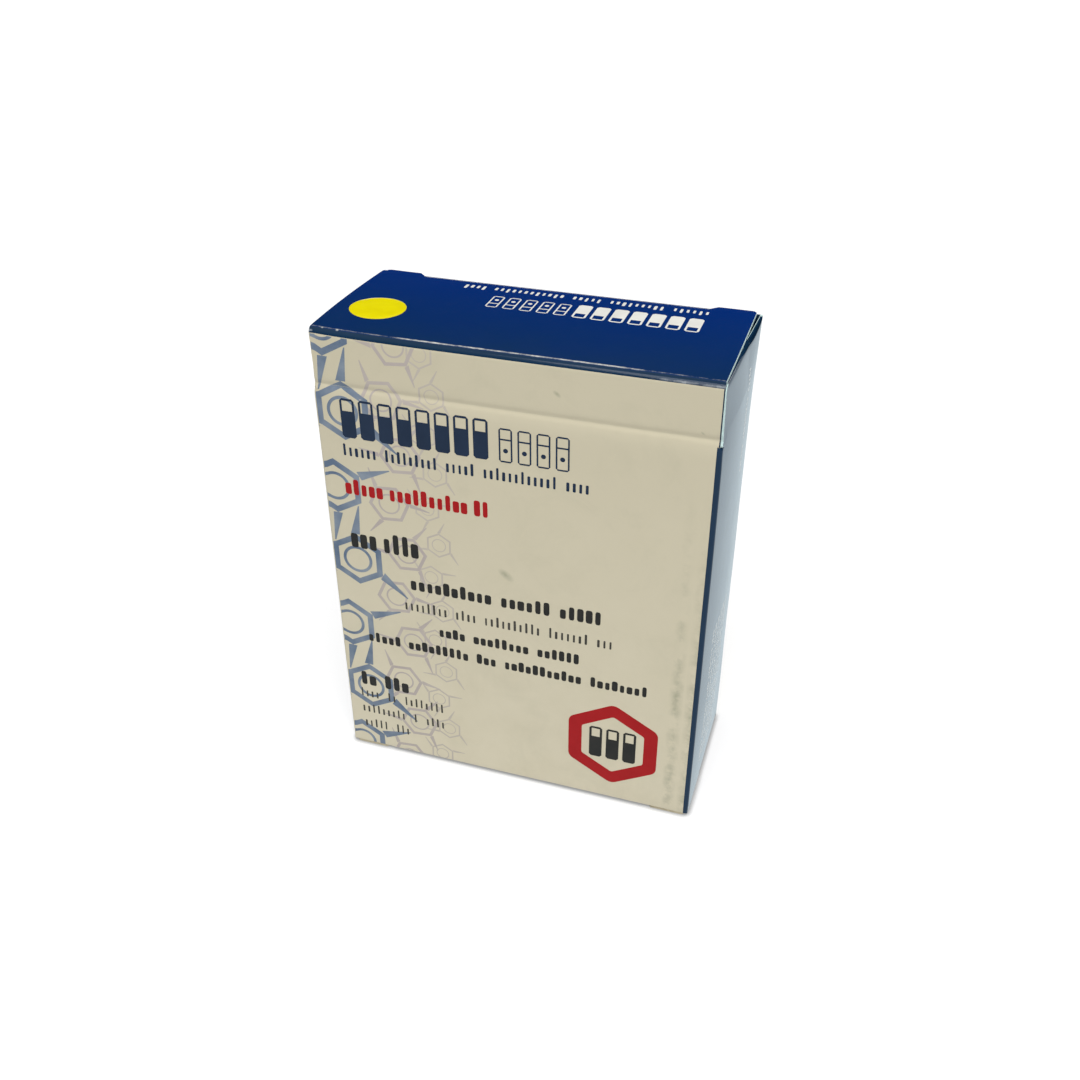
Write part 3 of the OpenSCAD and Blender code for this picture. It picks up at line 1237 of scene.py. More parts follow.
@dataclass
class Board:
    """The four pieces of board: the walls, the lid, the bottom flap and its tuck flap."""

    size: CartonSize
    grid: Grid
    warp: Warp
    back_skin: float = 0.5  # how far inside the back's face a face still counts as the back's

    def build(self) -> list[Object]:
        """Makes all the pieces of board.

        Returns:
            The pieces.
        """
        common = {"size": self.size, "grid": self.grid, "warp": self.warp}
        pieces = (
            BoardPiece("carton", "carton", "printed_board", is_cream=self._is_cream_wall, is_wall=True,
                       **common),
            BoardPiece("lid", "lid", "varnished_board", is_cream=self._is_cream_strip, **common),
            BoardPiece("bottom_flap", "bottom_flap", "raw_board", **common),
            BoardPiece("bottom_tuck_flap", "bottom_tuck_flap", "raw_board", **common),
        )
        return [piece.build() for piece in pieces]

    def _is_cream_wall(self, point: Vector) -> bool:
        """Tells if the walls are cream at a point: on the front and the back, inside their borders.

        Args:
            point: The point in the true box.

        Returns:
            Whether it's cream.
        """
        size = self.size
        right = size.half_width - size.wrap
        side = size.lid_half_width - size.bleed if point.z > size.crease - size.slit_drop else right
        is_front = point.y < size.wrap - size.half_depth and point.x < side
        return is_front or (point.y > size.half_depth - self.back_skin and abs(point.x) < right)

    def _is_cream_strip(self, point: Vector) -> bool:
        """Tells if the lid is cream at a point: on its strip, inside the navy's borders.

        Args:
            point: The point in the true box.

        Returns:
            Whether it's cream.
        """
        size = self.size
        is_under = point.z < size.height - size.band
        return point.y < 0 and is_under and point.x < size.lid_half_width - size.bleed


class CoreFace(IntEnum):
    """What shows on a face of a crease's core, by its material slot."""

    OUTSIDE = 0
    INSIDE = 1


@dataclass
class FoldCore:
    """The board inside a crease that moves: it fills the split there and bends with both sides.

    The split lies between two cuts through the board. Each is given as its outer and its inner
    point in Y and Z, in a plane across the carton.
    """

    name: str
    bodies: tuple[str, str]
    slot: str
    cuts: tuple[tuple[Vector, Vector], ...]
    half_length: float
    outside: Finish
    grid: Grid
    warp: Warp
    steps: int = 12
    end_clear: float = 0.01  # the least from a grid cut to the core's end

    def build(self) -> Object:
        """Makes the core, blended from the first body to the second.

        Returns:
            The core.
        """
        inner_cuts = (place for axis, place in self.grid.planes
                      if axis == Axis.X and abs(place) < self.half_length - self.end_clear)
        bm = bmesh.new()
        columns = [self._column(bm, x) for x in (-self.half_length, *sorted(inner_cuts), self.half_length)]
        count = 2 * (self.steps + 1)
        for near, far in zip(columns, columns[1:]):
            for i in range(count):
                j = (i + 1) % count
                face = bm.faces.new((near[i], near[j], far[j], far[i]))
                is_outside = max(i, j) <= self.steps and i != count - 1
                face.material_index = CoreFace.OUTSIDE if is_outside else CoreFace.INSIDE
        for column in (columns[0], columns[-1]):
            bm.faces.new(column).material_index = CoreFace.INSIDE
        bmesh.ops.recalc_face_normals(bm, faces=bm.faces)
        obj = to_object(bm, self.name, [self.outside, Finish.RAW])
        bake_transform(obj)
        return obj

    def _column(self, bm: WorkMesh, x: float) -> list[bmesh.types.BMVert]:
        """Adds the points of one section: along the outside, and back along the inside.

        Args:
            bm: The core's mesh.
            x: Where the section is.

        Returns:
            The points in their order round the section.
        """
        (outer_a, inner_a), (outer_b, inner_b) = self.cuts
        shares = [i / self.steps for i in range(self.steps + 1)]
        path = [(outer_a.lerp(outer_b, s), s) for s in shares]
        path += [(inner_a.lerp(inner_b, s), s) for s in reversed(shares)]
        points = ((Vector((x, *p)), s) for p, s in path)
        near, far = self.bodies
        return [bm.verts.new(self.warp.moved(p, near).lerp(self.warp.moved(p, far), s)) for p, s in points]


@dataclass
class FoldCores:
    """The cores of the three creases that move: the lid's, the bottom flap's and its tuck's."""

    size: CartonSize
    grid: Grid
    warp: Warp
    back_angle: float = -math.pi / 4  # of the split in the bottom's fold at the back, round its axis
    front_angle: float = -3 * math.pi / 4  # and in the one at the front

    def build(self) -> list[Object]:
        """Makes the three cores in the splits that the solids have.

        Returns:
            The cores.
        """
        size = self.size
        front, back_y = -size.half_depth, size.half_depth - size.fold_r
        front_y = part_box("bottom_tuck_flap")[0].y / MM + size.fold_r
        lid_cuts = tuple((Vector((front, size.crease + s)), Vector((front + size.board, size.crease + s)))
                         for s in (-size.split / 2, size.split / 2))
        common = {"grid": self.grid, "warp": self.warp}
        cores = (
            FoldCore("lid_crease", ("carton", "lid"), "printed_board", lid_cuts,
                     size.lid_half_width, Finish.CREAM, **common),
            FoldCore("bottom_crease", ("carton", "bottom_flap"), "printed_board",
                     self._round_cuts(back_y, self.back_angle),
                     size.half_width - size.board - size.corner_r - size.cut, Finish.SHADED_NAVY, **common),
            FoldCore("tuck_crease", ("bottom_flap", "bottom_tuck_flap"), "raw_board",
                     self._round_cuts(front_y, self.front_angle),
                     size.lid_half_width - size.ear, Finish.SHADED_NAVY, **common),
        )
        return [core.build() for core in cores]

    def _round_cuts(self, y: float, angle: float) -> tuple[tuple[Vector, Vector], ...]:
        """Gives the two cuts of a split in a level fold's round.

        Args:
            y: Where the fold's axis is.
            angle: Where the split is round it.

        Returns:
            The outer and the inner point of each cut.
        """
        size = self.size
        axis = Vector((y, size.fold_r))
        spread = math.asin(size.split / 2 / (size.fold_r - size.board))
        cuts = []
        for turn in (angle + spread, angle - spread):
            way = Vector((math.cos(turn), math.sin(turn)))
            cuts.append((axis + way * size.fold_r, axis + way * (size.fold_r - size.board)))
        return tuple(cuts)


# ---- Print ----


class GeometryTree:
    """A Geometry Nodes tree with named inputs, and the flat meshes that it makes."""

    def __init__(self, name: str, **inputs: float) -> None:
        """Starts a tree.

        Args:
            name: The tree's name.
            **inputs: The default value of each input. A whole number makes an input of whole numbers.
        """
        self.nodes = bpy.data.node_groups.new(name, "GeometryNodeTree")
        for label, value in inputs.items():
            kind = "NodeSocketInt" if isinstance(value, int) else "NodeSocketFloat"
            self.nodes.interface.new_socket(label, in_out="INPUT", socket_type=kind).default_value = value
        self.nodes.interface.new_socket("Mesh", in_out="OUTPUT", socket_type="NodeSocketGeometry")
        self.inputs = add(self.nodes, "NodeGroupInput").outputs

    def line(self, along: Axis) -> Node:
        """Adds a line of points: as many as Count says, and as far apart as Pitch says."""
        step = add(self.nodes, "ShaderNodeCombineXYZ", {along.name: self.inputs["Pitch"]})
        return add(self.nodes, "GeometryNodeMeshLine", {"Count": self.inputs["Count"], "Offset": step})

    def raised(self, shape: Node, lift: Node) -> Node:
        """Adds a shape's copy, moved so far up in Y."""
        offset = add(self.nodes, "ShaderNodeCombineXYZ", {"Y": lift})
        return add(self.nodes, "GeometryNodeTransform", {"Geometry": shape, "Translation": offset})

    def finish(self, instances: Node, material: Material) -> None:
        """Ends the tree with plain geometry in one material.

        Args:
            instances: The node whose output is what the tree makes.
            material: The material.
        """
        real = add(self.nodes, "GeometryNodeRealizeInstances", {"Geometry": instances})
        dressed = add(self.nodes, "GeometryNodeSetMaterial", {"Geometry": real, "Material": material})
        add(self.nodes, "NodeGroupOutput", {"Mesh": dressed})

    def mesh(self, **values: float) -> Mesh:
        """Runs the tree once.

        Args:
            **values: A value for each input that isn't left at its default.

        Returns:
            A plain mesh in millimetres.
        """
        carrier = new_object(self.nodes.name, bpy.data.meshes.new(self.nodes.name))
        modifier = carrier.modifiers.new("shape", "NODES")
        modifier.node_group = self.nodes
        for item in self.nodes.interface.items_tree:
            if item.in_out == "INPUT":
                modifier[item.identifier] = values.get(item.name, item.default_value)
        graph = bpy.context.evaluated_depsgraph_get()
        made = bpy.data.meshes.new_from_object(carrier.evaluated_get(graph))
        bpy.data.objects.remove(carrier)
        return made


def stroke_group_tree() -> GeometryTree:
    """Makes the tree for a group of short upright strokes, some taller or narrower than others.

    Returns:
        The tree.
    """
    rounding, narrowest = 0.3, 0.7  # shares of a stroke's width
    tall_share, extra = 0.34, 0.38  # how many strokes are tall, and how much taller they are
    row = GeometryTree("stroke_group", Count=7, Pitch=1.2, Stroke=0.6, Height=1.6, Seed=1)
    nodes, value = row.nodes, row.inputs
    outline = add(nodes, "GeometryNodeCurvePrimitiveQuadrilateral", {
        "Width": value["Stroke"], "Height": value["Height"]})
    radius = add(nodes, "ShaderNodeMath", {0: value["Stroke"], 1: rounding}, operation="MULTIPLY")
    rounded = add(nodes, "GeometryNodeFilletCurve", {"Curve": outline, "Count": 3, "Radius": radius},
                  mode="POLY")
    face = add(nodes, "GeometryNodeFillCurve", {"Curve": rounded}, mode="NGONS")
    lift = add(nodes, "ShaderNodeMath", {0: value["Height"], 1: 0.5}, operation="MULTIPLY")
    next_seed = add(nodes, "ShaderNodeMath", {0: value["Seed"], 1: 7.0})
    is_tall = add(nodes, "FunctionNodeRandomValue", {"Probability": tall_share, "Seed": next_seed},
                  data_type="BOOLEAN")
    stretch = add(nodes, "ShaderNodeMath", {0: is_tall, 1: extra, 2: 1.0}, operation="MULTIPLY_ADD")
    width = add(nodes, "FunctionNodeRandomValue", {"Min": narrowest, "Max": 1.0, "Seed": value["Seed"]})
    strokes = add(nodes, "GeometryNodeInstanceOnPoints", {
        "Points": row.line(Axis.X), "Instance": row.raised(face, lift),
        "Scale": add(nodes, "ShaderNodeCombineXYZ", {"X": width, "Y": stretch, "Z": 1.0})})
    row.finish(strokes, Finish.DARK_INK.material())
    return row


def slide_sign_tree() -> GeometryTree:
    """Makes the tree for a row of slide signs: a cut-cornered outline with its writing area open.

    The rest of the slide is solid, or open too, with a dot for the specimen.

    Returns:
        The tree.
    """
    corner_share = 0.16  # of the sign's width
    row = GeometryTree("slide_signs", Count=4, Pitch=3.0, Width=2.2, Height=6.3, Line=0.35, Share=0.3,
                       Dot=0.4, Open=0)
    nodes, value = row.nodes, row.inputs
    outline = add(nodes, "GeometryNodeCurvePrimitiveQuadrilateral", {
        "Width": value["Width"], "Height": value["Height"]})
    corner = add(nodes, "ShaderNodeMath", {0: value["Width"], 1: corner_share}, operation="MULTIPLY")
    outline = add(nodes, "GeometryNodeFilletCurve", {"Curve": outline, "Count": 1, "Radius": corner},
                  mode="POLY")
    inner_width = add(nodes, "ShaderNodeMath", {0: value["Line"], 1: -2.0, 2: value["Width"]},
                      operation="MULTIPLY_ADD")
    area_height = add(nodes, "ShaderNodeMath", {0: value["Height"], 1: value["Share"]}, operation="MULTIPLY")
    area_top = add(nodes, "ShaderNodeMath", {0: value["Height"], 1: 0.5, 2: value["Line"]},
                   operation="MULTIPLY_ADD")
    area_top = add(nodes, "ShaderNodeMath", {0: value["Line"], 1: -2.0, 2: area_top},
                   operation="MULTIPLY_ADD")
    area_lift = add(nodes, "ShaderNodeMath", {0: area_height, 1: -0.5, 2: area_top},
                    operation="MULTIPLY_ADD")
    area = add(nodes, "GeometryNodeCurvePrimitiveQuadrilateral", {
        "Width": inner_width, "Height": area_height})
    pane_height = add(nodes, "ShaderNodeMath", {0: value["Line"], 1: -3.0, 2: value["Height"]},
                      operation="MULTIPLY_ADD")
    pane_height = add(nodes, "ShaderNodeMath", {0: pane_height, 1: area_height}, operation="SUBTRACT")
    pane_drop = add(nodes, "ShaderNodeMath", {0: area_height, 1: value["Line"]})
    pane_drop = add(nodes, "ShaderNodeMath", {0: pane_drop, 1: -0.5}, operation="MULTIPLY")
    pane = add(nodes, "GeometryNodeCurvePrimitiveQuadrilateral", {
        "Width": inner_width, "Height": pane_height})
    dot = add(nodes, "GeometryNodeCurvePrimitiveCircle", {"Resolution": 16, "Radius": value["Dot"]})
    opened = add(nodes, "GeometryNodeJoinGeometry", {"Geometry": [pane, dot]})
    lower = add(nodes, "GeometryNodeSwitch", {"Switch": value["Open"], "True": opened},
                input_type="GEOMETRY")
    curves = add(nodes, "GeometryNodeJoinGeometry", {
        "Geometry": [outline, row.raised(area, area_lift), row.raised(lower, pane_drop)]})
    sign = add(nodes, "GeometryNodeFillCurve", {"Curve": curves}, mode="TRIANGLES")
    signs = add(nodes, "GeometryNodeInstanceOnPoints", {"Points": row.line(Axis.X), "Instance": sign})
    row.finish(signs, Finish.NAVY_INK.material())
    return row


def molecule_tree() -> GeometryTree:
    """Makes the tree for a chain of six-sided rings, joined by wedges as bonds are drawn.

    Returns:
        The tree.
    """
    sides, bonded = 6, 3  # a ring's corners, and those of them with a bond
    round_share, round_line = 0.52, 0.45  # the inner circle's radius in the ring's, and its line in the line
    chain = GeometryTree("molecule_chain", Count=8, Pitch=10.0, Swing=2.0, Radius=4.0, Line=1.0,
                         Bond=4.0, Root=1.0, Tip=0.2, Turn=0.0)
    nodes, value = chain.nodes, chain.inputs
    index = add(nodes, "GeometryNodeInputIndex")
    odd = add(nodes, "ShaderNodeMath", {0: index, 1: 2.0}, operation="MODULO")
    sway = add(nodes, "ShaderNodeMath", {0: odd, 1: value["Swing"]}, operation="MULTIPLY")
    points = add(nodes, "GeometryNodeSetPosition", {
        "Geometry": chain.line(Axis.Y), "Offset": add(nodes, "ShaderNodeCombineXYZ", {"X": sway})})
    hole = add(nodes, "ShaderNodeMath", {0: value["Radius"], 1: value["Line"]}, operation="SUBTRACT")
    round_out = add(nodes, "ShaderNodeMath", {0: value["Radius"], 1: round_share}, operation="MULTIPLY")
    round_in = add(nodes, "ShaderNodeMath", {0: value["Line"], 1: -round_line, 2: round_out},
                   operation="MULTIPLY_ADD")
    rings = []
    for resolution, outer, inner in ((sides, value["Radius"], hole), (40, round_out, round_in)):
        edges = [add(nodes, "GeometryNodeCurvePrimitiveCircle", {"Resolution": resolution, "Radius": radius})
                 for radius in (outer, inner)]
        curves = add(nodes, "GeometryNodeJoinGeometry", {"Geometry": edges})
        rings.append(add(nodes, "GeometryNodeFillCurve", {"Curve": curves}, mode="TRIANGLES"))
    wedge = add(nodes, "GeometryNodeCurvePrimitiveQuadrilateral", {
        "Height": value["Bond"], "Bottom Width": value["Root"], "Top Width": value["Tip"]}, mode="TRAPEZOID")
    wedge = add(nodes, "GeometryNodeFillCurve", {"Curve": wedge}, mode="NGONS")
    half = add(nodes, "ShaderNodeMath", {0: value["Bond"], 1: 0.5}, operation="MULTIPLY")
    corners = add(nodes, "GeometryNodeMeshCircle", {"Vertices": bonded, "Radius": value["Radius"]})
    third = add(nodes, "ShaderNodeMath", {0: index, 1: math.tau / bonded}, operation="MULTIPLY")
    outward = add(nodes, "ShaderNodeMath", {0: third, 1: math.pi / 2}, operation="SUBTRACT")
    bonds = add(nodes, "GeometryNodeInstanceOnPoints", {
        "Points": corners, "Instance": chain.raised(wedge, half),
        "Rotation": add(nodes, "ShaderNodeCombineXYZ", {"Z": outward})})
    unit = add(nodes, "GeometryNodeJoinGeometry", {"Geometry": [*rings, bonds]})
    turned = add(nodes, "ShaderNodeMath", {0: odd, 1: math.tau / sides, 2: value["Turn"]},
                 operation="MULTIPLY_ADD")
    units = add(nodes, "GeometryNodeInstanceOnPoints", {
        "Points": points, "Instance": unit,
        "Rotation": add(nodes, "ShaderNodeCombineXYZ", {"Z": turned})})
    chain.finish(units, Finish.SLATE_INK.material())
    return chain


@dataclass(frozen=True)
class Row:
    """A row of strokes in groups, in place of a line of words: its left end, base and sizes."""

    left: float
    base: float
    groups: tuple[int, ...]
    height: float
    pitch: float
    stroke: float
    finish: Finish
    space: float = 1.1

    def shapes(self, strokes: GeometryTree) -> list[Mesh]:
        """Makes the row's groups of strokes.

        Args:
            strokes: The tree that makes a group.

        Returns:
            The groups, flat and in their places.
        """
        made, start = [], self.left + self.stroke / 2
        for i, count in enumerate(self.groups):
            seed = 11 * i + count + round(10 * self.base)
            group = strokes.mesh(Count=count, Pitch=self.pitch, Stroke=self.stroke, Height=self.height,
                                 Seed=seed)
            made.append(moved_mesh(group, start, self.base))
            start += (count + self.space) * self.pitch
        return made


def moved_mesh(mesh: Mesh, u: float, v: float) -> Mesh:
    """Moves a flat mesh along its panel and returns it."""
    mesh.transform(Matrix.Translation((u, v, 0)))
    return mesh


def spoke(angle: float) -> Vector:
    """Gives the flat direction at an angle."""
    return Vector((math.cos(angle), math.sin(angle), 0))


def hexagon_ring(radius: float, line: float, corner: float) -> Mesh:
    """Makes a flat six-sided ring with rounded corners.

    Args:
        radius: From the centre to an outer corner, before rounding.
        line: The ring's width.
        corner: The outer corners' radius.

    Returns:
        The ring, centred on the origin, with a corner at the top.
    """
    steps, inner_share, slant = 4, 0.35, math.cos(math.pi / 6)
    bm = bmesh.new()
    loops = []
    for reach, turn in ((radius, corner), (radius - line / slant, corner * inner_share)):
        loop = []
        for k in range(6):
            axis = math.pi / 2 + k * math.pi / 3
            centre = spoke(axis) * (reach - turn / slant)
            for step in range(steps + 1):
                angle = axis + (step / steps - 0.5) * math.pi / 3
                loop.append(bm.verts.new(centre + spoke(angle) * turn))
        loops.append(loop)
    outer, inner = loops
    for i in range(len(outer)):
        j = (i + 1) % len(outer)
        bm.faces.new((outer[i], outer[j], inner[j], inner[i]))
    return to_mesh(bm, "hexagon_ring")


@dataclass
class Press:
    """Lays flat shapes on a panel as closed layers of ink that bend with the board."""

    size: CartonSize
    grid: Grid
    warp: Warp
    sunk: float = 0.02  # how deep a layer's foot is in the board

    def lay(self, name: str, shapes: list[Mesh], panel: Panel, finish: Finish, body: str,
            slot: str, height: float = 0.012, limits: Iterable[tuple[Axis, float, float]] = (),
            dome: Callable[[Vector], float] | None = None) -> Object | None:
        """Makes one layer.

        Args:
            name: The layer's name.
            shapes: Flat meshes in the panel's own directions.
            panel: The panel that it lies on.
            finish: The layer's finish.
            body: The body that it rides on.
            slot: The record's material slot; not used.
            height: How far it stands over the panel.
            limits: An axis with the lowest and highest place that are kept, for each side to trim.
            dome: The share of the height at a point of the true box, if it isn't even.

        Returns:
            The layer, or None if nothing of it is within the limits.
        """
        bm = bmesh.new()
        for shape in shapes:
            bm.from_mesh(shape)
        for face in bm.faces:
            face.normal_update()
            if face.normal.z < 0:
                face.normal_flip()
        for v in bm.verts:
            v.co = panel.point(v.co.x, v.co.y)
        for axis, low, high in limits:
            cut_across(bm, axis, low, cleared=-1.0)
            cut_across(bm, axis, high, cleared=1.0)
        self.grid.cut(bm)
        if not bm.faces:
            bm.free()
            return None
        layer = self._thicken(bm, panel.normal, height, body, dome)
        obj = to_object(layer, name, [finish])
        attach(obj, body)
        return obj

    def _thicken(self, bm: WorkMesh, normal: Vector, height: float, body: str,
                 dome: Callable[[Vector], float] | None) -> WorkMesh:
        """Turns flat faces to a closed layer that follows the bent panel.

        Args:
            bm: The flat faces on the true box, which are freed.
            normal: The panel's normal.
            height: How far the layer stands over the panel.
            body: The body that the panel belongs to.
            dome: The share of the height at a point of the true box, if it isn't even.

        Returns:
            The layer's mesh.
        """
        layer = bmesh.new()
        tops, feet = {}, {}
        for v in bm.verts:
            bent = self.warp.moved(v.co, body)
            share = dome(v.co) if dome else 1.0
            tops[v] = layer.verts.new(bent + normal * height * share)
            feet[v] = layer.verts.new(bent - normal * self.sunk)
        for face in bm.faces:
            layer.faces.new([tops[v] for v in face.verts])
            layer.faces.new([feet[v] for v in reversed(face.verts)])
            for loop in face.loops:
                if len(loop.edge.link_faces) == 1:
                    a, b = loop.vert, loop.link_loop_next.vert
                    layer.faces.new((tops[b], tops[a], feet[a], feet[b]))
        bm.free()
        return layer


@dataclass
class CartonPrint:
    """Everything that is printed on the carton, all of it plain signs and rows of strokes."""

    size: CartonSize
    press: Press
    panels: Panels
    strokes: GeometryTree = field(default_factory=stroke_group_tree)
    signs: GeometryTree = field(default_factory=slide_sign_tree)
    chains: GeometryTree = field(default_factory=molecule_tree)
    rows: tuple[Row, ...] = (
        Row(-27.0, 59.9, (6, 9, 5, 12, 4), 1.5, 0.98, 0.5, Finish.NAVY_INK),
        Row(-27.3, 53.0, (5, 10, 2), 2.0, 1.32, 1.08, Finish.RED_INK, 0.6),
        Row(-27.3, 43.0, (3, 4), 2.7, 1.6, 1.34, Finish.DARK_INK, 0.5),
        Row(-17.4, 36.7, (10, 6, 5), 1.8, 1.42, 1.16, Finish.DARK_INK, 0.9),
        Row(-18.6, 32.4, (8, 4, 10, 7, 3), 1.45, 0.98, 0.42, Finish.THIN_INK),
        Row(-12.9, 28.1, (4, 8, 6), 1.45, 1.22, 0.98, Finish.DARK_INK, 1.0),
        Row(-25.9, 24.1, (5, 9, 3, 11, 8), 1.45, 1.22, 0.98, Finish.DARK_INK, 1.0),
        Row(-28.2, 14.0, (2, 3), 2.1, 1.6, 1.3, Finish.DARK_INK, 0.8),
        Row(-28.4, 11.2, (4, 2, 8), 1.35, 0.95, 0.36, Finish.THIN_INK, 1.4),
        Row(-28.4, 7.6, (9, 1, 4), 1.35, 0.95, 0.36, Finish.THIN_INK, 1.4),
        Row(-28.2, 4.2, (5, 3), 1.35, 0.95, 0.36, Finish.THIN_INK, 1.4),
    )
    top_row: Row = Row(-23.6, -10.9, (6, 9, 5, 12, 4), 1.1, 0.98, 0.5, Finish.WHITE_INK)
    side_heading: Row = Row(57.0, -6.0, (6, 9, 5), 1.0, 0.8, 0.34, Finish.WHITE_INK)
    side_groups: tuple[int, ...] = (7, 11, 5, 9, 4)
    side_lines: int = 6
    side_base: float = 5.6
    side_pitch: float = 2.1
    margin: float = 0.5  # between the print and the front's left and lower edges
    under_band: float = 0.1  # between it and the top's navy
    pieces: list[Object] = field(default_factory=list)

    def build(self) -> list[Object]:
        """Prints every panel.

        Returns:
            The layers of ink.
        """
        self._molecules()
        self._front_signs()
        self._front_rows()
        self._emblem()
        self._top()
        self._side()
        return self.pieces

    def _front(self, name: str, shapes: list[Mesh], finish: Finish, height: float) -> None:
        """Prints on the front, parted where the lid's crease crosses it.

        Args:
            name: The layer's name.
            shapes: Flat meshes, placed from the middle of the front's foot.
            finish: The ink.
            height: How thick the ink is.
        """
        size = self.size
        half_split = size.split / 2
        across = (Axis.X, self.margin - size.half_width, size.half_width - size.wrap)
        below = (Axis.Z, self.margin, size.crease - half_split)
        above = (Axis.Z, size.crease + half_split, size.height - size.band - self.under_band)
        for suffix, body, slot, upright in (
            ("", "carton", "printed_board", below),
            ("_on_lid", "lid", "varnished_board", above),
        ):
            layer = self.press.lay(name + suffix, shapes, self.panels.front, finish, body, slot, height,
                                   limits=(across, upright))
            if layer:
                self.pieces.append(layer)

    def _molecules(self) -> None:
        """Prints the three chains of rings up the left of the front, bold to pale."""
        pale = self.chains.mesh(Count=13, Pitch=6.4, Swing=1.6, Radius=2.3, Line=0.32, Bond=2.0,
                                Root=0.5, Tip=0.12, Turn=0.5)
        lilac = self.chains.mesh(Count=10, Pitch=8.9, Swing=2.4, Radius=3.5, Line=0.62, Bond=3.2,
                                 Root=0.8, Tip=0.15, Turn=0.1)
        slate = self.chains.mesh(Count=7, Pitch=13.4, Swing=2.6, Radius=4.9, Line=1.15, Bond=5.4,
                                 Root=1.6, Tip=0.2, Turn=0.52)
        self._front("pale_molecules", [moved_mesh(pale, -13.6, 1.5)], Finish.PALE_INK, height=0.006)
        self._front("lilac_molecules", [moved_mesh(lilac, -20.0, -1.0)], Finish.LILAC_INK, height=0.008)
        self._front("slate_molecules", [moved_mesh(slate, -29.0, 0.5)], Finish.SLATE_INK, height=0.010)

    def _front_signs(self) -> None:
        """Prints the large signs: eight solid slides, then four in outline."""
        solid = self.signs.mesh(Count=8, Pitch=3.02, Width=2.35, Height=6.6, Line=0.36, Share=0.26)
        hollow = self.signs.mesh(Count=4, Pitch=2.9, Width=2.1, Height=5.6, Line=0.26, Share=0.26, Open=1,
                                 Dot=0.38)
        shapes = [moved_mesh(solid, -25.6, 66.4), moved_mesh(hollow, -0.6, 65.9)]
        self._front("slide_signs", shapes, Finish.NAVY_INK, height=0.014)

    def _front_rows(self) -> None:
        """Prints the rows of strokes, those of one ink together."""
        for finish in (Finish.NAVY_INK, Finish.RED_INK, Finish.DARK_INK, Finish.THIN_INK):
            rows = (row for row in self.rows if row.finish is finish)
            shapes = [shape for row in rows for shape in row.shapes(self.strokes)]
            self._front(f"{finish.name.lower()}_rows", shapes, finish, height=0.014)

    def _emblem(self) -> None:
        """Prints the emblem: a red six-sided ring round three slide signs."""
        ring = moved_mesh(hexagon_ring(radius=8.8, line=2.3, corner=1.6), 17.3, 12.4)
        self._front("emblem_ring", [ring], Finish.RED_INK, height=0.016)
        sign = self.signs.mesh(Count=3, Pitch=2.9, Width=2.2, Height=6.6, Line=0.4, Share=0.27)
        self._front("emblem_slides", [moved_mesh(sign, 14.4, 12.4)], Finish.DARK_INK, height=0.016)

    def _top(self) -> None:
        """Prints the lid's top in white, to be read from behind."""
        solid = self.signs.mesh(Count=7, Pitch=2.85, Width=2.2, Height=5.2, Line=0.32, Share=0.27)
        hollow = self.signs.mesh(Count=5, Pitch=2.7, Width=1.9, Height=4.6, Line=0.22, Share=0.27, Open=1,
                                 Dot=0.34)
        shapes = [moved_mesh(solid, -22.4, -5.1), moved_mesh(hollow, -2.2, -5.0)]
        shapes += self.top_row.shapes(self.strokes)
        self.pieces.append(self.press.lay("top_signs", shapes, self.panels.top, Finish.WHITE_INK,
                                          "lid", "varnished_board"))

    def _side(self) -> None:
        """Prints small rows up the right side in white."""
        shapes = []
        for i in range(self.side_lines):
            turn = i % 3
            groups = self.side_groups[turn:] + self.side_groups[:turn]
            row = Row(6.0, self.side_base - self.side_pitch * i, groups, 0.8, 0.7, 0.3, Finish.WHITE_INK)
            shapes += row.shapes(self.strokes)
        shapes += self.side_heading.shapes(self.strokes)
        self.pieces.append(self.press.lay("side_rows", shapes, self.panels.right, Finish.WHITE_INK,
                                          "carton", "printed_board"))


@dataclass
class Sticker:
    """The round yellow sticker on the lid, which gives the colour of the slides' writing area."""

    press: Press
    panels: Panels
    rings: tuple[float, ...] = (0.35, 0.7, 0.9, 0.97, 1.0)  # the shares of the radius at which it's cut
    sides: int = 56
    rim: float = 0.93  # the share of the radius where its edge starts to be pressed down
    rim_height: float = 0.55  # the least share of the height, at the edge
    past_edge: float = 1.001  # the share of the radius by which it is there

    def build(self) -> Object:
        """Makes the sticker, its edge pressed down.

        Returns:
            The sticker.
        """
        low, high = (Vector(c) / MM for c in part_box("colour_dot"))
        radius, height = (high.x - low.x) / 2, high.z - low.z
        centre = (low + high) / 2

        def dome(point: Vector) -> float:
            """Gives the share of the sticker's height at a point.

            Args:
                point: The point in the true box.

            Returns:
                The share, from its least at the edge to 1.
            """
            reach = Vector((point.x - centre.x, point.y - centre.y)).length / radius
            inward = (self.past_edge - reach) / (self.past_edge - self.rim)
            return 1.0 if reach < self.rim else self.rim_height + (1 - self.rim_height) * inward

        disc = self._disc(Vector((-centre.x, -centre.y, 0)), radius)
        obj = self.press.lay("yellow_sticker", [disc], self.panels.top, Finish.YELLOW_PAPER, "lid",
                             "sticker_paper", height, dome=dome)
        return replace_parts(obj, "colour_dot")

    def _disc(self, centre: Vector, radius: float) -> Mesh:
        """Makes a flat disc of rings.

        Args:
            centre: Its centre on the panel.
            radius: Its radius.

        Returns:
            The disc.
        """
        bm = bmesh.new()
        angles = [math.tau * k / self.sides for k in range(self.sides)]
        loops = [[bm.verts.new(spoke(angle) * radius * share + centre) for angle in angles]
                 for share in self.rings]
        bm.faces.new(loops[0])
        for inner, outer in zip(loops, loops[1:]):
            for i in range(self.sides):
                j = (i + 1) % self.sides
                bm.faces.new((inner[i], outer[i], outer[j], inner[j]))
        return to_mesh(bm, "disc")


# ---- Slides ----


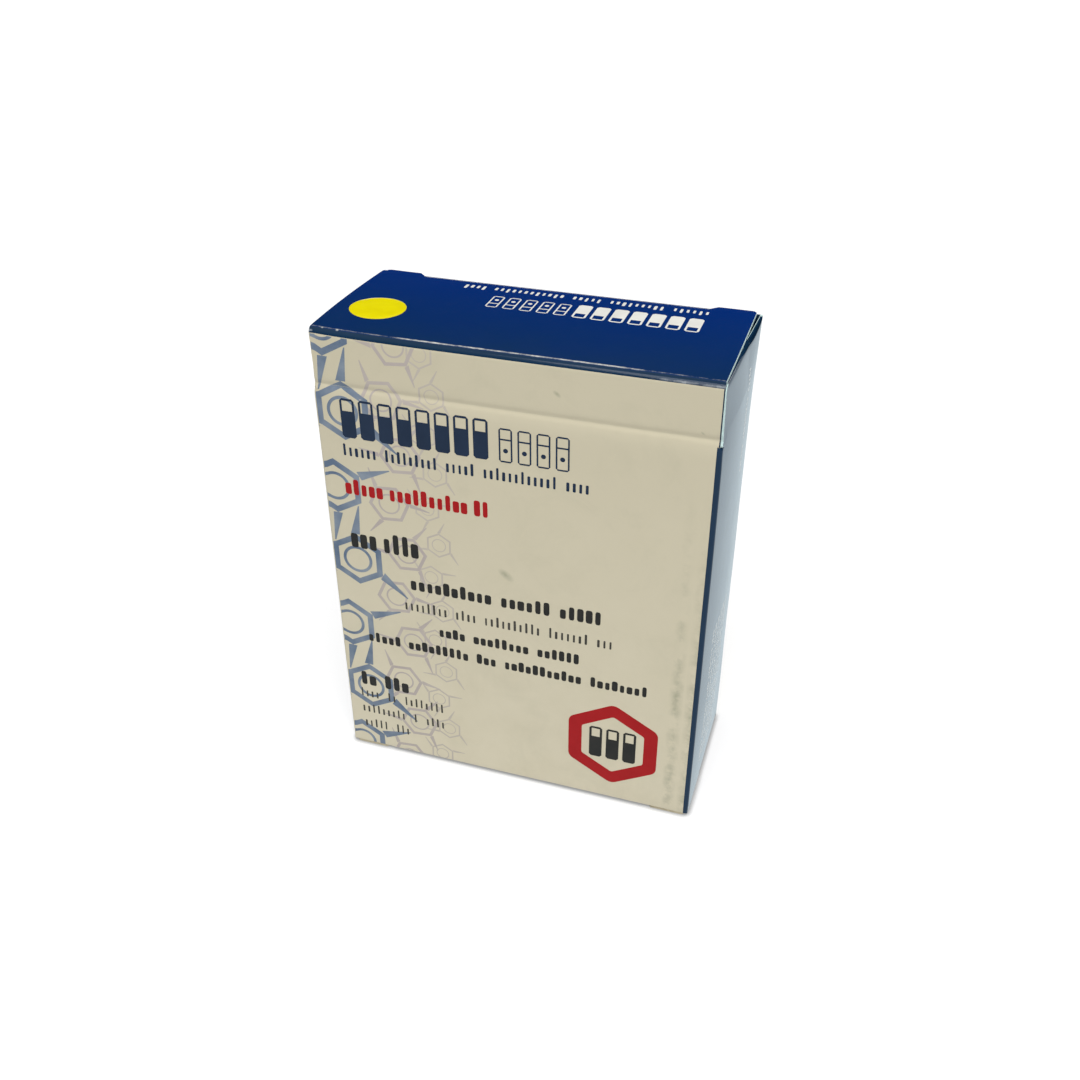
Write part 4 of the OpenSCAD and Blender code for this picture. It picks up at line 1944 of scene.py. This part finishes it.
class SlideFace(IntEnum):
    """What shows on a face of a slide, by its material slot."""

    PANE = 0
    EDGE = 1
    AREA = 2


@dataclass
class SlideStack:
    """Fifty glass slides on end, with ground edges and a yellow writing area at the top."""

    corner: float = 1.5  # the width of a cut corner
    area: float = 20.0  # the height of the writing area
    coat: float = 0.03  # the enamel's thickness

    def build(self) -> Object:
        """Makes the row of slides.

        Returns:
            The row.
        """
        names = sorted(n for n in frame["nodes"] if n.startswith("slide_"))
        first, second = ([Vector(c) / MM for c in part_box(name)] for name in names[:2])
        size, pitch = first[1] - first[0], second[0].x - first[0].x
        tree = GeometryTree("slide_row", Count=len(names), Pitch=pitch, Thickness=size.x, Width=size.y,
                            Length=size.z, Corner=self.corner)
        nodes, value = tree.nodes, tree.inputs
        outline = add(nodes, "GeometryNodeCurvePrimitiveQuadrilateral", {
            "Width": value["Length"], "Height": value["Width"]})
        outline = add(nodes, "GeometryNodeFilletCurve", {
            "Curve": outline, "Count": 1, "Radius": value["Corner"]}, mode="POLY")
        face = add(nodes, "GeometryNodeFillCurve", {"Curve": outline}, mode="NGONS")
        pane = add(nodes, "GeometryNodeExtrudeMesh", {
            "Mesh": face, "Offset Scale": value["Thickness"], "Individual": False})
        base = add(nodes, "GeometryNodeFlipFaces", {"Mesh": face})
        whole = add(nodes, "GeometryNodeJoinGeometry", {"Geometry": [pane, base]})
        closed = add(nodes, "GeometryNodeMergeByDistance", {"Geometry": whole, "Distance": 0.001})
        turned = add(nodes, "GeometryNodeInstanceOnPoints", {
            "Points": tree.line(Axis.X), "Instance": closed, "Rotation": (0.0, -math.pi / 2, 0.0)})
        tree.finish(turned, Finish.CLEAR_GLASS.material())
        mesh = tree.mesh()
        middle = (first[0] + first[1]) / 2
        mesh.transform(Matrix.Translation((first[1].x, middle.y, middle.z)))
        return self._dress(mesh, names, first, pitch)

    def _dress(self, mesh: Mesh, names: list[str], first: list[Vector], pitch: float) -> Object:
        """Grinds the edges and coats the writing areas.

        Args:
            mesh: The row of plain slides.
            names: The nodes that it stands for.
            first: The lowest and highest corner of the first slide.
            pitch: From one slide to the next.

        Returns:
            The row.
        """
        bm = bmesh.new()
        bm.from_mesh(mesh)
        bm.normal_update()
        for face in bm.faces:
            face.material_index = SlideFace.PANE if abs(face.normal.x) > 0.5 else SlideFace.EDGE
        low, high = first
        depth = high.y - low.y - 2 * self.corner
        y, z = (low.y + high.y) / 2, high.z - self.corner - self.area / 2
        for i in range(len(names)):
            centre = Vector((high.x + self.coat / 2 + i * pitch, y, z))
            coat = bmesh.ops.create_cube(bm, size=1.0)["verts"]
            for v in coat:
                v.co = centre + Vector((v.co.x * self.coat, v.co.y * depth, v.co.z * self.area))
            for face in {f for v in coat for f in v.link_faces}:
                face.material_index = SlideFace.AREA
        obj = to_object(bm, "glass_slides", [Finish.CLEAR_GLASS, Finish.GROUND_GLASS, Finish.ENAMEL])
        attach(obj, "carton")
        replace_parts(obj, *names)
        return obj


# ---- Studio ----


@dataclass
class Studio:
    """A plain pale floor, a soft lamp and the camera. Lengths here are in metres."""

    camera_place: tuple[float, float, float] = (0.04902, -0.1516, 0.14377)
    camera_turn: float = 17.84
    camera_dip: float = 32.75
    lens: float = 37.87
    sensor: float = 36.0
    clip: tuple[float, float] = (0.005, 20.0)
    floor_half: float = 3.0
    aim: tuple[float, float, float] = (0.0, 0.0, 0.04)
    lamp_place: tuple[float, float, float] = (0.24, -0.78, 1.1)
    lamp_width: float = 1.2
    lamp_watts: float = 19.8
    white: tuple[float, ...] = (1.0, 1.0, 1.0, 1.0)
    mirrored: tuple[float, ...] = (0.82, 0.94, 1.0, 1.0)  # the floor's colour in the varnish
    contact: float = 0.0012  # how far the carton's shadow reaches on the floor

    def build(self) -> None:
        """Makes the camera, the lamp, the world and the floor."""
        self._camera()
        self._lamp()
        self._world()
        self._floor()
        bpy.context.scene.view_settings.view_transform = "Standard"

    def _camera(self) -> None:
        """Puts the camera to the right of the carton, looking down on it."""
        data = bpy.data.cameras.new("camera")
        data.lens, data.sensor_width = self.lens, self.sensor
        data.clip_start, data.clip_end = self.clip
        turn, dip = math.radians(self.camera_turn), math.radians(self.camera_dip)
        gaze = Vector((-math.sin(turn) * math.cos(dip), math.cos(turn) * math.cos(dip), -math.sin(dip)))
        camera = new_object("camera", data)
        camera.location = self.camera_place
        camera.rotation_euler = gaze.to_track_quat("-Z", "Y").to_euler()
        bpy.context.scene.camera = camera

    def _lamp(self) -> None:
        """Hangs a square softbox before the carton, turned to it."""
        data = bpy.data.lights.new("key", "AREA")
        data.shape, data.size, data.energy = "SQUARE", self.lamp_width, self.lamp_watts
        lamp = new_object("key", data)
        lamp.location = self.lamp_place
        lamp.rotation_euler = (Vector(self.aim) - lamp.location).to_track_quat("-Z", "Y").to_euler()

    def _world(self) -> None:
        """Makes a white surround to look at, and for the light a low white sweep under a soft dome.

        Low behind the carton the sweep is brighter, so that its back isn't left in the dark.
        """
        world = bpy.data.worlds.new("studio")
        tree = bare_tree(world)
        way = add(tree, "ShaderNodeSeparateXYZ", {
            0: add(tree, "ShaderNodeTexCoord").outputs["Generated"]}).outputs
        sweep = add(tree, "ShaderNodeMapRange", {
            "Value": way["Z"], "From Min": 0.06, "From Max": 0.24, "To Min": 0.3, "To Max": 0.01})
        behind = add(tree, "ShaderNodeMapRange", {
            "Value": way["Y"], "From Min": 0.2, "From Max": 0.8, "To Min": 0.0, "To Max": 4.0})
        fill = add(tree, "ShaderNodeMapRange", {
            "Value": way["Z"], "From Min": 0.03, "From Max": 0.15, "To Min": behind, "To Max": 0.0})
        dome = add(tree, "ShaderNodeMapRange", {
            "Value": way["Z"], "From Min": 0.4, "From Max": 0.8, "To Min": 0.0, "To Max": 0.52})
        above = add(tree, "ShaderNodeMath", {0: way["Z"], 1: 0.0}, operation="GREATER_THAN")
        fill = add(tree, "ShaderNodeMath", {0: fill, 1: above}, operation="MULTIPLY")
        light = add(tree, "ShaderNodeMath", {0: add(tree, "ShaderNodeMath", {0: sweep, 1: dome}), 1: fill})
        rays = add(tree, "ShaderNodeLightPath").outputs
        seen = add(tree, "ShaderNodeMath", {0: rays["Is Camera Ray"], 1: rays["Is Transmission Ray"]},
                   operation="MAXIMUM")
        level = add(tree, "ShaderNodeMix", {"Factor": seen, "A": light, "B": 1.0}, data_type="FLOAT")
        surround = add(tree, "ShaderNodeBackground", {"Color": self.white, "Strength": level})
        add(tree, "ShaderNodeOutputWorld", {"Surface": surround})
        bpy.context.scene.world = world

    def _paper(self) -> Material:
        """Makes the floor's paper, white to look at and blue-white in the varnish.

        Returns:
            The material.
        """
        material = bpy.data.materials.new("floor_paper")
        tree = bare_tree(material)
        contact = add(tree, "ShaderNodeAmbientOcclusion", {"Distance": self.contact}, samples=16)
        shade = add(tree, "ShaderNodeMapRange", {
            "Value": contact.outputs["AO"], "From Min": 0.5, "From Max": 0.95, "To Min": 0.4})
        grey = add(tree, "ShaderNodeMath", {0: shade, 1: 0.5}, operation="MULTIPLY")
        paper = add(tree, "ShaderNodeBsdfDiffuse", {"Color": grey})
        rays = add(tree, "ShaderNodeLightPath").outputs
        reach = add(tree, "ShaderNodeVectorMath", {
            0: add(tree, "ShaderNodeTexCoord").outputs["Object"]}, operation="LENGTH").outputs["Value"]
        level = add(tree, "ShaderNodeMapRange", {
            "Value": reach, "From Min": 0.15, "From Max": 0.9, "To Min": 0.6, "To Max": 0.95})
        lift = add(tree, "ShaderNodeMath", {0: level, 1: shade}, operation="MULTIPLY")
        lift = add(tree, "ShaderNodeMath", {0: lift, 1: rays["Is Camera Ray"]}, operation="MULTIPLY")
        glow = add(tree, "ShaderNodeEmission", {"Color": self.white, "Strength": lift})
        lit = add(tree, "ShaderNodeAddShader", {0: paper, 1: glow})
        mirrored = add(tree, "ShaderNodeEmission", {"Color": self.mirrored})
        both = add(tree, "ShaderNodeMixShader", {0: rays["Is Glossy Ray"], 1: lit, 2: mirrored})
        add(tree, "ShaderNodeOutputMaterial", {"Surface": both})
        return material

    def _floor(self) -> None:
        """Lays the floor, with the carton's shadow on it."""
        bm = bmesh.new()
        bmesh.ops.create_grid(bm, x_segments=1, y_segments=1, size=self.floor_half)
        mesh = to_mesh(bm, "floor")
        mesh.materials.append(self._paper())
        new_object("floor", mesh)


# ---- Scene ----


def main() -> None:
    """Builds the studio and every piece, and reports each one."""
    logging.basicConfig(level=logging.INFO, format="%(name)s: %(message)s")
    Studio().build()
    size = CartonSize.from_frame()
    grid, warp = Grid(size), Warp(size)
    press, panels = Press(size, grid, warp), Panels(size)
    pieces = Board(size, grid, warp).build() + FoldCores(size, grid, warp).build()
    pieces += CartonPrint(size, press, panels).build()
    pieces.append(Sticker(press, panels).build())
    pieces.append(SlideStack().build())
    for piece in pieces:
        log.info("%s: %d faces", piece.name, len(piece.data.polygons))


if __name__ == "__main__":
    main()
